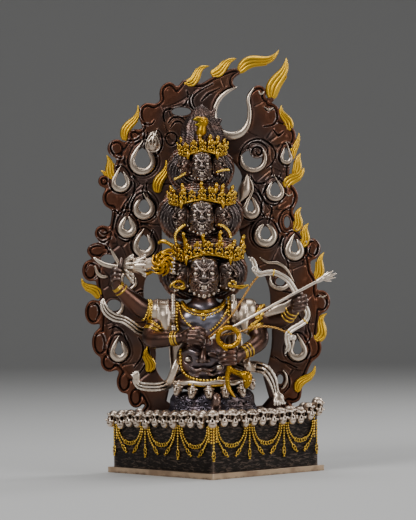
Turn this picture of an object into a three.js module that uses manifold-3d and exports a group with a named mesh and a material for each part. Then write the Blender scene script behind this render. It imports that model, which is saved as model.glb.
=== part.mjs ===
// A four-armed serpent deity with nine heads, rising from its own coiled tail
// on a three-cornered plinth, in front of an open halo of curling flames.
// Millimetres, +X to the viewer's right, +Y away from the viewer, +Z up.
// The origin is under the figure, on the underside of the base plate.
import * as THREE from 'three';
import { mergeVertices } from 'three/addons/utils/BufferGeometryUtils.js';
import Module from 'manifold-3d';

const wasm = await Module();
wasm.setup();

// Driving dimensions
const GAP = 0.3; // left between two pieces that touch
const PLATE = { halfWidth: 96.4, front: -58, back: 46, thick: 5 };
const PLINTH = { halfWidth: 90.5, front: -52, back: 41, top: 47, wallTop: 54, wall: 3.5 };
const PLINTH_TURN = [0, 0, -1.6]; // degrees: the plinth sits a little askew under the figure
const SKULL = { pitch: 11.7, middle: 53, half: [5.2, 4.2, 7.6] };
const RIM_RISE = 4.7; // the skull rim climbs this much from the middle to the right corner
const SWAG = { perFace: 3, top: 44, bottom: 28.5, thick: 3.4, tassel: 18.5 };
const HALO = { front: 29, back: 35.5, proud: 1.4, foot: PLINTH.top + GAP };
const AXIS_X = -8; // the upper body leans this far to the viewer's left
const COIL = { x: -1.5, y: 1.5, halfWidth: 37.5, halfDepth: 24, bottom: PLINTH.top + GAP, top: 71 };

const add = (solids) => solids.reduce((sum, solid) => sum.add(solid));

function toSolid(geometry) {
  geometry.deleteAttribute('normal');
  geometry.deleteAttribute('uv');
  const merged = mergeVertices(geometry, 1e-4);
  return new wasm.Manifold(new wasm.Mesh({
    numProp: 3,
    vertProperties: new Float32Array(merged.attributes.position.array),
    triVerts: new Uint32Array(merged.index.array),
  }));
}

function toMesh(name, solid, color, roughness, metalness) {
  const shell = solid.getMesh();
  const geometry = new THREE.BufferGeometry();
  geometry.setAttribute('position', new THREE.BufferAttribute(shell.vertProperties, 3));
  geometry.setIndex(new THREE.BufferAttribute(shell.triVerts, 1));
  geometry.computeVertexNormals();
  const material = new THREE.MeshStandardMaterial({ color, roughness, metalness, flatShading: true });
  const mesh = new THREE.Mesh(geometry, material);
  mesh.name = name;
  return mesh;
}

// A ball or egg with its poles up and down
function ball([x, y, z], [rx, ry, rz], around = 7, down = 4) {
  const geometry = new THREE.SphereGeometry(1, around, down);
  geometry.rotateX(Math.PI / 2);
  geometry.scale(rx, ry, rz);
  geometry.translate(x, y, z);
  return toSolid(geometry);
}

// A round bar that follows a smooth line through stations [x, y, z, radius]
function limb(stations, { grow = 0, sides = 8, steps = 3, closed = false } = {}) {
  const places = stations.map(([x, y, z]) => new THREE.Vector3(x, y, z));
  const curve = new THREE.CatmullRomCurve3(places, closed, 'centripetal');
  const spans = closed ? stations.length : stations.length - 1;
  const rings = spans * steps;
  const frames = curve.computeFrenetFrames(rings, closed);
  const positions = [];
  const last = closed ? rings - 1 : rings;
  for (let i = 0; i <= last; i += 1) {
    const along = i / steps;
    const station = Math.min(Math.floor(along), spans - 1);
    const from = stations[station][3];
    const to = stations[(station + 1) % stations.length][3];
    const radius = from + (to - from) * (along - station) + grow;
    const centre = curve.getPoint(i / rings);
    for (let k = 0; k < sides; k += 1) {
      const angle = (2 * Math.PI * k) / sides;
      const spoke = centre.clone()
        .addScaledVector(frames.normals[i], radius * Math.cos(angle))
        .addScaledVector(frames.binormals[i], radius * Math.sin(angle));
      positions.push(spoke.x, spoke.y, spoke.z);
    }
  }
  const triangles = [];
  const joins = closed ? rings : last;
  for (let i = 0; i < joins; i += 1) {
    const near = i * sides;
    const far = ((i + 1) % (last + 1)) * sides;
    for (let k = 0; k < sides; k += 1) {
      const next = (k + 1) % sides;
      triangles.push(near + k, near + next, far + next);
      triangles.push(near + k, far + next, far + k);
    }
  }
  if (!closed) {
    for (let k = 1; k < sides - 1; k += 1) {
      triangles.push(0, k + 1, k);
      triangles.push(last * sides, last * sides + k, last * sides + k + 1);
    }
  }
  const geometry = new THREE.BufferGeometry();
  geometry.setAttribute('position', new THREE.Float32BufferAttribute(positions, 3));
  geometry.setIndex(triangles);
  return toSolid(geometry);
}

// An upright outline in X and Z, given thickness from front to back
function slab(outline, front, back, curveSegments = 5) {
  const shape = Array.isArray(outline) ? new THREE.Shape(outline.map(([x, z]) => new THREE.Vector2(x, z))) : outline;
  const geometry = new THREE.ExtrudeGeometry(shape, { depth: back - front, bevelEnabled: false, curveSegments });
  geometry.rotateX(Math.PI / 2);
  geometry.translate(0, back, 0);
  return toSolid(geometry);
}

// A level outline in X and Y, given height
function slice(outline, bottom, top) {
  const shape = new THREE.Shape(outline.map(([x, y]) => new THREE.Vector2(x, y)));
  const geometry = new THREE.ExtrudeGeometry(shape, { depth: top - bottom, bevelEnabled: false });
  geometry.translate(0, 0, bottom);
  return toSolid(geometry);
}

// A turned body from [radius, height] points, flattened from front to back
function turned(profile, [x, y], flatten = 1, around = 16) {
  const geometry = new THREE.LatheGeometry(profile.map(([r, z]) => new THREE.Vector2(r, z)), around);
  geometry.rotateX(Math.PI / 2);
  geometry.scale(1, flatten, 1);
  geometry.translate(x, y, 0);
  return toSolid(geometry);
}

const ellipse = (x, z, rx, rz) => new THREE.Shape().absellipse(x, z, rx, rz, 0, 2 * Math.PI);

// Base plate and plinth
const triangle = ({ halfWidth, front, back }) => [[0, front], [halfWidth, back], [-halfWidth, back]];

function basePlate() {
  return slice(triangle(PLATE), 0, PLATE.thick).rotate(PLINTH_TURN);
}

// Points along one front face of the plinth, from the front corner (0) to a back corner (1)
const onFace = (side, along) => [
  side * PLINTH.halfWidth * along,
  PLINTH.front + (PLINTH.back - PLINTH.front) * along,
];

function skullAt([x, y]) {
  const geometry = new THREE.IcosahedronGeometry(1, 0);
  geometry.scale(...SKULL.half);
  geometry.translate(x, y, SKULL.middle + (RIM_RISE * x) / PLINTH.halfWidth);
  return toSolid(geometry);
}

function skullRim() {
  const faceLength = Math.hypot(PLINTH.halfWidth, PLINTH.back - PLINTH.front);
  const perFace = Math.round(faceLength / SKULL.pitch);
  const acrossBack = Math.round((2 * PLINTH.halfWidth) / SKULL.pitch);
  const skulls = [skullAt(onFace(1, 0))];
  for (let i = 1; i <= perFace; i += 1) {
    skulls.push(skullAt(onFace(-1, i / perFace)), skullAt(onFace(1, i / perFace)));
  }
  for (let i = 1; i < acrossBack; i += 1) {
    skulls.push(skullAt([PLINTH.halfWidth * ((2 * i) / acrossBack - 1), PLINTH.back]));
  }
  return add(skulls);
}

function swags() {
  const pieces = [];
  for (const side of [-1, 1]) {
    for (let i = 0; i < SWAG.perFace; i += 1) {
      const stations = [];
      const steps = 4;
      for (let k = 0; k <= steps; k += 1) {
        const across = k / steps;
        const drop = (SWAG.top - SWAG.bottom) * 4 * across * (1 - across);
        stations.push([...onFace(side, (i + across) / SWAG.perFace), SWAG.top - drop, SWAG.thick / 2]);
      }
      pieces.push(limb(stations, { sides: 4, steps: 1 }));
    }
    for (let i = side < 0 ? 0 : 1; i <= SWAG.perFace; i += 1) {
      const [x, y] = onFace(side, i / SWAG.perFace);
      pieces.push(limb([[x, y, SWAG.top + 2, 1.8], [x, y, SWAG.tassel, 2.6]], { sides: 4, steps: 1 }));
    }
  }
  return add(pieces);
}

// The plinth's outline drawn in by the thickness of its low wall
function insideWall() {
  const { halfWidth, front, back, wall } = PLINTH;
  const depth = back - front;
  const inRadius = (halfWidth * depth) / (halfWidth + Math.hypot(halfWidth, depth));
  const shrink = 1 - wall / inRadius;
  const middle = back - inRadius;
  return triangle({
    halfWidth: halfWidth * shrink,
    front: middle + (front - middle) * shrink,
    back: middle + (back - middle) * shrink,
  });
}

function plinth() {
  const body = slice(triangle(PLINTH), PLATE.thick + GAP, PLINTH.wallTop);
  const recess = slice(insideWall(), PLINTH.top, PLINTH.wallTop + 1);
  return add([body.subtract(recess), swags(), skullRim()]).rotate(PLINTH_TURN);
}

// Flame halo: a plate in the X-Z plane, its rim made of rolled lobes
const HALO_BODY = [
  [-60, HALO.foot], [-60, 60], [-70, 76], [-84, 92], [-97, 108], [-101, 125], [-99, 150], [-104, 168],
  [-102, 185], [-95, 206], [-91, 222], [-89, 240], [-90, 262], [-84, 282], [-74, 297], [-61, 306],
  [-60, 322], [-50, 326], [-45, 331], [-43, 341], [-31, 339], [-24, 349], [-8, 344], [2, 351],
  [22, 359], [28, 354], [21, 349], [20, 345], [23, 340], [12, 334], [7, 324], [7, 312],
  [11, 305], [18, 302], [26, 304], [31, 309], [32.5, 318], [31, 330], [34, 337], [40, 341],
  [49, 336], [56, 334], [52, 329], [59, 322], [60, 311], [64, 306], [73, 303], [74, 292],
  [72, 276], [69, 259], [76, 243], [71, 230], [75, 216], [82, 206], [87, 190], [89, 176],
  [91, 164], [96, 142], [94, 126], [90, 102], [85, 90], [77, 72], [76, 66], [65, 65], [65, HALO.foot],
];
// Open middle of the halo, behind the figure
const HALO_MIDDLE = [
  [-35, 60], [-39, 76], [-46, 84], [-51, 94], [-51, 112], [-58, 130], [-61, 155], [-60, 170],
  [-54, 179], [-45, 192], [-44, 218], [-38, 245], [-30, 268], [-20, 286], [4, 288], [18, 276],
  [27, 262], [22, 246], [22, 225], [28, 198], [35, 185], [44, 178], [50, 162], [51, 148],
  [52, 118], [49, 98], [44, 84], [43, 60],
];
// Rolled lobes on the rim: [x, z, half width, half height]
const LOBES = [
  [-69, 67.5, 7, 9.5], [-79, 81, 7, 10], [-92, 99, 8, 9], [-100, 116, 7.5, 12], [-105.5, 143, 8, 11],
  [-108, 180, 7.5, 9.5], [-101.5, 197.5, 9.5, 7], [-97, 213, 7, 7], [-88.5, 244, 8.5, 9.5], [-95, 259, 5.5, 5.5],
  [-84, 288, 8, 8], [-68, 300, 5.5, 5], [-56, 318, 8, 10], [-37, 337, 8, 8.5], [43.5, 337, 5, 5],
  [53, 316, 8, 10], [64, 305, 7, 5], [68, 296, 6, 7], [69, 243, 7, 9], [66.5, 220, 8.5, 8],
  [88.5, 197, 7.5, 9.5], [84, 167, 8, 9], [96.5, 150.5, 7.5, 10], [88.5, 110, 7.5, 10.5], [70, 71, 7, 10],
];
// Flame tongues: [base x, base z, tip x, tip z, width, sway]
const TONGUES = [
  [-22, 345, -1, 360, 8, -1.5], [1, 352, 23, 366.5, 9, -1], [25, 356, 61, 374, 11, 2], [53, 332, 67.5, 366.5, 13, 1],
  [69, 303, 62.5, 324.5, 9, -1], [71, 278, 78, 300, 6, 0.5], [74, 264, 79, 282, 8, -0.5], [66, 252, 82, 269, 10, 1],
  [-76, 296, -64.5, 326, 9, 1.5], [-88, 262, -92.5, 282, 9, 0.5], [-47, 250, -38, 275, 9, 1],
  [-101, 156, -116, 173, 9, -1], [-57, 90, -58, 112, 9, -1.5], [73, 214, 79, 234, 9, -1], [79, 200, 85.5, 220, 9, -1],
  [92, 169, 99, 194, 9, -1], [90, 117, 101, 140, 11, -2], [73, 72, 90, 94, 8, 1.5],
];
// Drop-shaped windows with a raised rim: [left, right, bottom, top, rim]
const WINDOWS = [
  [-68, -54, 270, 290, 4.2], [-85, -76, 254, 269, 3.8], [-65, -55, 230.5, 244, 3.6], [-78, -72, 215, 226, 4],
  [-65.5, -55.5, 197.5, 212, 4.6], [-87, -80, 105, 118, 4.2], [63.5, 69.5, 275.5, 287, 2.8], [51.5, 61, 244, 257, 3.6],
  [31.5, 37.5, 230.5, 243, 3.8], [42.5, 52, 206, 219, 4.4], [69.5, 76, 194, 207, 4.6], [70.5, 78.5, 104, 118, 4.4],
  [27.5, 45, 269, 286, 3.2], [56.5, 61.5, 77.5, 86.5, 3], [56, 64, 165, 173, 3.2],
];
// Plain windows: [x, z, half width, half height]
const PLAIN_WINDOWS = [
  [-26, 320, 8, 4], [66.5, 221, 2.8, 5], [-92.5, 189.5, 6, 4.5], [-75.5, 170.5, 3.4, 5.4], [-87.5, 149, 5.8, 5],
];

function drop([left, right, bottom, top], rim = 0) {
  const corners = 8;
  const halfWidth = (right - left) / 2 + rim;
  const halfHeight = (top - bottom) / 2 + rim;
  const fullness = 1.2; // brings the widest part of the drop out to its half width
  const outline = [];
  for (let i = 0; i < corners; i += 1) {
    const turn = (2 * Math.PI * i) / corners;
    const squeeze = Math.sin(turn / 2) ** 0.7;
    outline.push([
      (left + right) / 2 - halfWidth * fullness * Math.sin(turn) * squeeze,
      (top + bottom) / 2 + halfHeight * Math.cos(turn),
    ]);
  }
  return outline;
}

function tongue([baseX, baseZ, tipX, tipZ, width, sway]) {
  const steps = 4;
  const length = Math.hypot(tipX - baseX, tipZ - baseZ);
  const alongX = (tipX - baseX) / length;
  const alongZ = (tipZ - baseZ) / length;
  const edge = (side, t) => {
    const half = (width / 2) * Math.sin(Math.PI * (0.25 + 0.75 * t));
    const offset = side * half + sway * Math.sin(2 * Math.PI * t);
    return [baseX + alongX * length * t - alongZ * offset, baseZ + alongZ * length * t + alongX * offset];
  };
  const outline = [];
  for (let i = 0; i < steps; i += 1) outline.push(edge(-1, i / steps));
  outline.push([tipX, tipZ]);
  for (let i = steps - 1; i >= 0; i -= 1) outline.push(edge(1, i / steps));
  return outline;
}

function flameHalo() {
  const { front, back, proud } = HALO;
  const body = slab(HALO_BODY, front, back);
  const lobes = LOBES.map(([x, z, rx, rz]) => slab(ellipse(x, z, rx, rz), front - proud / 2, back, 4));
  const tongues = TONGUES.map((row) => slab(tongue(row), front + 1, back - 1.5));
  const rims = WINDOWS.map((row) => slab(drop(row, row[4]), front - proud, back - 0.5));
  const middle = slab(HALO_MIDDLE, front - 10, back + 10);
  const windows = WINDOWS.map((row) => slab(drop(row), front - 10, back + 10));
  const plain = PLAIN_WINDOWS.map(([x, z, rx, rz]) => slab(ellipse(x, z, rx, rz), front - 10, back + 10, 4));
  return add([body, ...lobes]).subtract(middle).add(add([...tongues, ...rims])).subtract(add([...windows, ...plain]));
}

// Things held in the four hands
function bow(grow = 0) {
  const upper = [[31.5, -25, 190, 0.8], [35.5, -25, 186, 1.5], [36, -25, 180, 2.2], [40, -25, 175.5, 2.4]];
  const limbs = [
    ...upper, [52, -25, 176.5, 2.1], [61, -25, 174, 2.1], [67, -25, 168, 2.2], [71, -25, 161, 2.2],
    [75, -25, 153, 2.2], [80, -25, 146, 2.1], [82.5, -25, 139, 2.1], [77, -25, 132.5, 2.1],
    [68, -25, 127, 2.1], [63.5, -25, 122, 2.2], [64, -25, 113, 1.7], [61.5, -25, 106, 0.8],
  ];
  const scroll = ball([69.5, -25, 119.5], [3.2 + grow, 2.4 + grow, 3.2 + grow], 7, 4);
  const link = limb([[64.5, -25, 122, 1.8], [69.5, -25, 119.5, 1.8]], { grow, sides: 5, steps: 1 });
  return add([limb(limbs, { grow, sides: 6, steps: 1 }), scroll, link]);
}

function bowstring(grow = 0) {
  const wire = 0.85;
  const route = [
    [39.5, 173.8], [36, 169.5], [30, 160.5], [24, 151], [17, 142], [8, 132], [-4.5, 121.5],
    [9, 124], [22, 125.5], [33, 129], [46, 130.3], [55, 128.8], [63.5, 124.5],
  ];
  const back = -25;
  const front = -28;
  const stations = route.map(([x, z]) => [x, x < 24 ? front : back, z, wire]);
  return limb(stations, { grow, sides: 5, steps: 1 });
}

const NOCK = [-2.5, -30.5, 120];
const HEAD_START = [93, -30.5, 170.5];

function arrow(grow = 0) {
  const shaft = limb([[...NOCK, 1.4], [...HEAD_START, 1.4]], { grow, sides: 8, steps: 1 });
  const fan = slab([[91, 168], [104.5, 167], [108, 177.5], [97.5, 175.5], [91, 172]], -32 - grow, -29 + grow);
  return shaft.add(fan);
}

function snakeNoose(grow = 0) {
  const ring = [];
  const corners = 10;
  for (let i = 0; i < corners; i += 1) {
    const turn = (2 * Math.PI * i) / corners;
    ring.push([13 + 9 * Math.cos(turn), -35.5, 121.5 + 8 * Math.sin(turn), 2]);
  }
  const tail = [[10, -35, 113, 1.9], [12, -33, 105, 2.1], [12.5, -31, 96, 2.2], [11, -30, 86, 2.1],
    [13, -30, 77, 1.9], [18, -30, 69.5, 1]];
  const neck = [[12, -31, 95, 2.2], [20, -30.5, 90.5, 2.4], [26, -30, 88, 3]];
  return add([
    limb(ring, { grow, sides: 6, steps: 1, closed: true }),
    limb(tail, { grow, sides: 6, steps: 1 }),
    limb(neck, { grow, sides: 6, steps: 1 }),
    limb([[25, -30, 89, 3.6], [30, -30, 86, 4], [28, -30, 78, 2.2]], { grow, sides: 6, steps: 1 }),
  ]);
}

function makaraBanner(grow = 0) {
  const y = -14;
  const horn = [[-103, y, 191.5, 1], [-97, y, 187, 1.9], [-90, y, 184, 2], [-82, y, 183, 2.2], [-74, y, 183, 3]];
  const tiers = new THREE.LatheGeometry([
    [0, 0], [4 + grow, 0], [9.5 + grow, 3], [10.5 + grow, 8], [6 + grow, 10], [8 + grow, 13],
    [8 + grow, 18], [6 + grow, 22], [7 + grow, 26], [0, 27],
  ].map(([r, along]) => new THREE.Vector2(r, along)), 10);
  tiers.rotateZ(-Math.PI / 2);
  tiers.scale(1, 0.7, 1);
  tiers.rotateX(Math.PI / 2);
  tiers.translate(-77, y, 183.5);
  const head = ball([-43, y, 186.5], [10.5 + grow, 8 + grow, 10.5 + grow], 9, 5);
  return add([limb(horn, { grow, sides: 6, steps: 1 }), toSolid(tiers), head]);
}

// Heads: three tiers, each with a front face, two side faces, a fan of hair and a crown
const TIERS = [
  { x: -7, z: 173, face: [13.5, 14, 20], side: [9, 9, 14], spread: 18, hair: [38.5, 8, 23, 178] },
  { x: -9, z: 224, face: [10.5, 12, 17], side: [8, 8, 12], spread: 15, hair: [36.5, 7.5, 23, 227] },
  { x: -8.5, z: 269, face: [9, 10.5, 14.5], side: [7, 7, 10], spread: 13, hair: [28.5, 7, 20, 268] },
];
const CROWNS = [
  { x: -3.5, z: 189, height: 17, tips: 8, half: [27, 18], flare: 1.12 },
  { x: -8.5, z: 238, height: 12, tips: 7, half: [25.5, 17], flare: 1.14 },
  { x: -7.5, z: 279, height: 12, tips: 7, half: [17.5, 13], flare: 1.14 },
];

// A band with leaf tips, closed below and above
function crown({ x, z, height, tips, half, flare }) {
  const leaves = 7;
  const around = 2 * leaves;
  const rows = [
    { size: 0.9, lift: () => 0 },
    { size: flare, lift: (turn) => height + tips * Math.max(0, Math.cos(leaves * turn)) },
    { size: flare - 0.12, lift: (turn) => height - 2 + tips * 0.5 * Math.max(0, Math.cos(leaves * turn)) },
  ];
  const positions = [x, 0, z];
  for (const { size, lift } of rows) {
    for (let k = 0; k < around; k += 1) {
      const turn = (2 * Math.PI * k) / around;
      positions.push(
        x + half[0] * size * Math.sin(turn),
        -half[1] * size * Math.cos(turn),
        z + lift(turn) + 1.5 * (1 - Math.cos(turn)),
      );
    }
  }
  positions.push(x, 0, z + height);
  const triangles = [];
  const top = 1 + rows.length * around;
  for (let k = 0; k < around; k += 1) {
    const next = (k + 1) % around;
    triangles.push(0, 1 + next, 1 + k);
    for (let row = 0; row < rows.length - 1; row += 1) {
      const low = 1 + row * around;
      const high = low + around;
      triangles.push(low + k, low + next, high + next, low + k, high + next, high + k);
    }
    const last = 1 + (rows.length - 1) * around;
    triangles.push(last + k, last + next, top);
  }
  const geometry = new THREE.BufferGeometry();
  geometry.setAttribute('position', new THREE.Float32BufferAttribute(positions, 3));
  geometry.setIndex(triangles);
  return toSolid(geometry);
}

function headTier({ x, z, face, side, spread, hair }) {
  const nose = ball([x, -face[1] - 8, z], [2.6, 3, 4], 4, 4);
  return [
    ball([x, -9, z], face, 8, 5),
    nose,
    ball([x - spread, -2, z + 1], side, 6, 4),
    ball([x + spread, -2, z + 1], side, 6, 4),
    ball([x - 1, 8, hair[3]], [hair[0], hair[1], hair[2]], 10, 5),
  ];
}

function hairConeAndBird() {
  return [
    turned([[0, 284], [18, 284], [19, 292], [15, 304], [9, 313], [4, 319], [0, 322]], [-8.5, 0], 0.75, 12),
    ball([-8, -8, 308.5], [5.6, 6, 6.4]),
    limb([[-9, -12, 311, 2.6], [-12.5, -15, 311.5, 1.6], [-14.5, -17, 310.5, 0.6]], { sides: 6, steps: 1 }),
    limb([[-9, -9, 303, 4], [-9, -9, 296, 4.5]], { sides: 8, steps: 1 }),
  ];
}

// Arms as stations from shoulder to wrist, seen from the front
const ARMS = {
  raisedLeft: [[-34, 1, 146, 9], [-50, 1, 145, 9], [-62, -1, 147, 8.6], [-73, -5, 156, 7.6], [-84, -11, 170, 5.6]],
  loweredLeft: [[-36, 0, 142, 9], [-50, -2, 130, 8.4], [-54, -7, 120, 7.6], [-44, -15, 119, 7.4], [-24, -25, 122, 5.6]],
  loweredRight: [[22, 0, 142, 9], [36, -4, 130, 8.2], [40, -9, 119, 7.6], [33, -17, 112, 7], [19, -27, 105, 5.6]],
  raisedRight: [[20, 1, 146, 9], [38, 0, 142, 8.4], [52, -4, 135, 7.6], [63, -12, 138, 6.6], [72, -24, 149, 5.4]],
};

function hands() {
  return [
    ball([-84, -12, 175], [6.5, 6, 9]),
    limb([[-82, -15, 178, 3], [-85, -16, 186, 2.6], [-87, -15, 192, 1.8]], { sides: 6, steps: 1 }),
    ball([-18, -26, 123.5], [12, 6.5, 7]),
    limb([[-16, -28, 121, 2.8], [-6, -29, 120.5, 2.4]], { sides: 6, steps: 1 }),
    ball([15, -29, 103], [10.5, 6, 8]),
    ball([73, -25, 151], [7, 6.5, 7.5]),
    limb([[71, -29, 150, 2.6], [78, -29, 155, 2.4], [83, -27, 157, 2]], { sides: 6, steps: 1 }),
  ];
}

function hangingHeads() {
  return [-31, -18, -4, 10, 22, 30].map((x) => {
    const across = (x - COIL.x) / (COIL.halfWidth - 1);
    const y = COIL.y - (COIL.halfDepth + 1.5) * Math.sqrt(1 - across * across);
    return ball([x, y, 75.5], [4.8, 4.2, 6.8], 5, 3);
  });
}

function coil() {
  const { x, y, halfWidth, halfDepth, bottom, top } = COIL;
  const profile = [
    [0, bottom], [halfWidth - 2, bottom], [halfWidth, bottom + 7], [halfWidth - 3, bottom + 12],
    [halfWidth - 1, bottom + 17], [halfWidth - 8, top], [0, top + 2],
  ];
  return turned(profile, [x, y], halfDepth / halfWidth);
}

function torso() {
  return [
    ball([-2, 0, 80], [36, 23.5, 10], 12, 4),
    ball([AXIS_X, -3, 103], [25, 21, 21], 10, 5),
    ball([AXIS_X, 0, 135], [26, 17, 20], 10, 5),
    ball([AXIS_X - 30, 0, 145], [11, 12, 11.5]),
    ball([AXIS_X + 31, 0, 145], [10, 12, 11]),
    ball([AXIS_X, -2, 152], [12, 11, 10], 8, 4),
    ball([AXIS_X - 1, -23, 104], [3.5, 4, 5], 5, 4),
    ball([AXIS_X - 14, -18, 102], [5, 4, 4.5], 5, 4),
    ball([AXIS_X + 13, -18, 96], [5, 4, 4.5], 5, 4),
  ];
}

function scarfOverForearm() {
  return [limb([[46, -9, 140, 4.2], [56, -14, 144.5, 3.6], [66, -19, 146, 2]], { sides: 6, steps: 1 })];
}

function figure() {
  const body = add([
    coil(),
    ...torso(),
    ...hangingHeads(),
    ...Object.values(ARMS).map((stations) => limb(stations, { sides: 6, steps: 1 })),
    ...hands(),
    ...scarfOverForearm(),
    ...TIERS.flatMap(headTier),
    ...CROWNS.map(crown),
    ...hairConeAndBird(),
  ]);
  const held = [bow, bowstring, arrow, snakeNoose, makaraBanner].map((make) => make(GAP));
  return body.subtract(add(held));
}

// The flayed skin on the back, with an arm and two legs that trail to the sides
function skinShawl(body) {
  const sheet = slab([[-36, 84], [-32, 80], [24, 80], [28, 90], [22, 148], [-38, 150], [-40, 128]], 18.5, 22.5);
  const trails = [
    [[-94, -9, 156, 2], [-95, -9, 149, 3], [-91, -9, 142, 3.6], [-84, -9, 138.5, 3.6], [-76, -7, 136, 3.6],
      [-69, -2, 130, 3.6], [-61, 6, 125, 3.6], [-50, 14, 126, 4], [-32, 20, 132, 4]],
    [[-69, -11, 87, 2.6], [-66.5, -11, 80, 3.2], [-56, -11, 78, 3.6], [-44, -9, 78, 3.8], [-38, 2, 80, 4.2],
      [-33, 13, 84, 4.2], [-24, 20, 90, 4]],
    [[55, -13, 63, 4], [54, -13, 72, 4], [50, -12, 84, 4], [43, -10, 92, 4], [36, -3, 94, 4.6],
      [30, 9, 94, 4.6], [20, 19, 98, 4]],
  ].map((stations) => limb(stations, { sides: 6, steps: 1 }));
  return add([sheet, ...trails]).subtract(body);
}

const OXIDISED = '#3a2a24';
const SILVER = '#cfc3b4';
const GOLD = '#b8922a';
const COPPER = '#a58a74';

const statue = new THREE.Group();
const body = figure();
statue.add(
  toMesh('base_plate', basePlate(), COPPER, 0.5, 1),
  toMesh('plinth', plinth(), '#26221f', 0.55, 1),
  toMesh('flame_aureole', flameHalo(), OXIDISED, 0.45, 1),
  toMesh('figure', body, '#4a4040', 0.4, 1),
  toMesh('skin_shawl', skinShawl(body), SILVER, 0.35, 1),
  toMesh('makara_banner', makaraBanner(), SILVER, 0.35, 1),
  toMesh('bow', bow(), SILVER, 0.3, 1),
  toMesh('bowstring', bowstring().subtract(bow(GAP)), COPPER, 0.45, 1),
  toMesh('arrow', arrow(), SILVER, 0.3, 1),
  toMesh('snake_noose', snakeNoose(), GOLD, 0.35, 1),
);

export default statue;
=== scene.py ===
"""Statue of a nine-headed serpent deity on a three-cornered plinth, before a halo of flames.

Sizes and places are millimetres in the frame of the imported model: +X to the viewer's right,
+Y to the back, +Z up. The organic castings are sculpted as clay on a fine grid and then cast
as meshes; wires, strings, rims and leaves are swept along lines; the plinth is built up from
primitives. A station is a place with a radius, (x, y, z, radius), on a line that something
rolls or is swept along, and sides are -1 at the left and 1 at the right.
"""
from math import asin, atan2, cos, degrees, hypot, pi, radians, sin, sqrt

import bpy
import numpy as np
import openvdb
from mathutils import Matrix, Vector


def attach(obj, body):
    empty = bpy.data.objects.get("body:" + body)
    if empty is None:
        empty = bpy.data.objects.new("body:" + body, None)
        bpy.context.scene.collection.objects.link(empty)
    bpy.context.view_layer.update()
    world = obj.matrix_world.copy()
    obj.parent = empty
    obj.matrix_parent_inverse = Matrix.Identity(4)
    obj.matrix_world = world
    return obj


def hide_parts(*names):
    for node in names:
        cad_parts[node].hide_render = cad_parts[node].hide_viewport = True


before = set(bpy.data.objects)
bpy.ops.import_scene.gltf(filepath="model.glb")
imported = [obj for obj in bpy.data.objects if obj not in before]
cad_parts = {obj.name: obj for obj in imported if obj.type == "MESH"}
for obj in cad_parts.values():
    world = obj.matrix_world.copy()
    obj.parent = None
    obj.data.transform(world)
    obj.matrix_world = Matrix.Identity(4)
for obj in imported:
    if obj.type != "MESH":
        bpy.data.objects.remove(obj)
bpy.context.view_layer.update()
bpy.ops.object.select_all(action="DESELECT")

MM = 0.001
ROOT = "root"
COARSER = 1.0
SUNK_FLOOR = 47.3  # where the halo and the coil stand, just above the floor inside the plinth's rim


# Distances, in millimetres, that shapes are sculpted from

def smooth_min(a, b, blend):
    """The nearer of two shapes, with a rounded joint blend millimetres wide."""
    if blend <= 0:
        return np.minimum(a, b)
    overlap = np.clip(blend - np.abs(a - b), 0, None) / blend
    return np.minimum(a, b) - overlap * overlap * blend / 4


def smooth_max(a, b, blend):
    return -smooth_min(-a, -b, blend)


def egg(centre, radii, turn=None):
    """An egg or ball; turn is a rotation matrix."""
    centre, radii = np.array(centre, float), np.array(radii, float)
    reach = radii if turn is None else np.full(3, radii.max())

    def distance(x, y, z):
        x, y, z = x - centre[0], y - centre[1], z - centre[2]
        if turn is not None:
            m = np.array(turn.transposed())
            x, y, z = (m[i][0] * x + m[i][1] * y + m[i][2] * z for i in range(3))
        near = np.sqrt((x / radii[0]) ** 2 + (y / radii[1]) ** 2 + (z / radii[2]) ** 2)
        slope = np.sqrt((x / radii[0] ** 2) ** 2 + (y / radii[1] ** 2) ** 2 + (z / radii[2] ** 2) ** 2)
        return near * (near - 1) / np.maximum(slope, 1e-6)

    return centre - reach, centre + reach, distance


def bar(start, end):
    """A straight round bar between two stations (x, y, z, radius)."""
    a, b = np.array(start[:3], float), np.array(end[:3], float)
    ra, rb = start[3], end[3]
    along = b - a
    length2 = max(float(along @ along), 1e-9)

    def distance(x, y, z):
        t = ((x - a[0]) * along[0] + (y - a[1]) * along[1] + (z - a[2]) * along[2]) / length2
        t = np.clip(t, 0, 1)
        away = np.sqrt((x - a[0] - t * along[0]) ** 2 + (y - a[1] - t * along[1]) ** 2
                       + (z - a[2] - t * along[2]) ** 2)
        return away - (ra + (rb - ra) * t)

    low = np.minimum(a - ra, b - rb)
    high = np.maximum(a + ra, b + rb)
    return low, high, distance


def smooth_line(stations, steps=6, closed=False):
    """Points on a smooth line through the stations; every column is smoothed alike."""
    points = np.array(stations, float)
    count = len(points)
    out = []
    spans = count if closed else count - 1
    for i in range(spans):
        if closed:
            p0, p1, p2, p3 = (points[(i + k) % count] for k in (-1, 0, 1, 2))
        else:
            p0, p1 = points[max(i - 1, 0)], points[i]
            p2, p3 = points[i + 1], points[min(i + 2, count - 1)]
        for k in range(steps):
            t = k / steps
            out.append(0.5 * (2 * p1 + (p2 - p0) * t + (2 * p0 - 5 * p1 + 4 * p2 - p3) * t * t
                              + (3 * p1 - p0 - 3 * p2 + p3) * t ** 3))
    if not closed:
        out.append(points[-1])
    return np.array(out)


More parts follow.
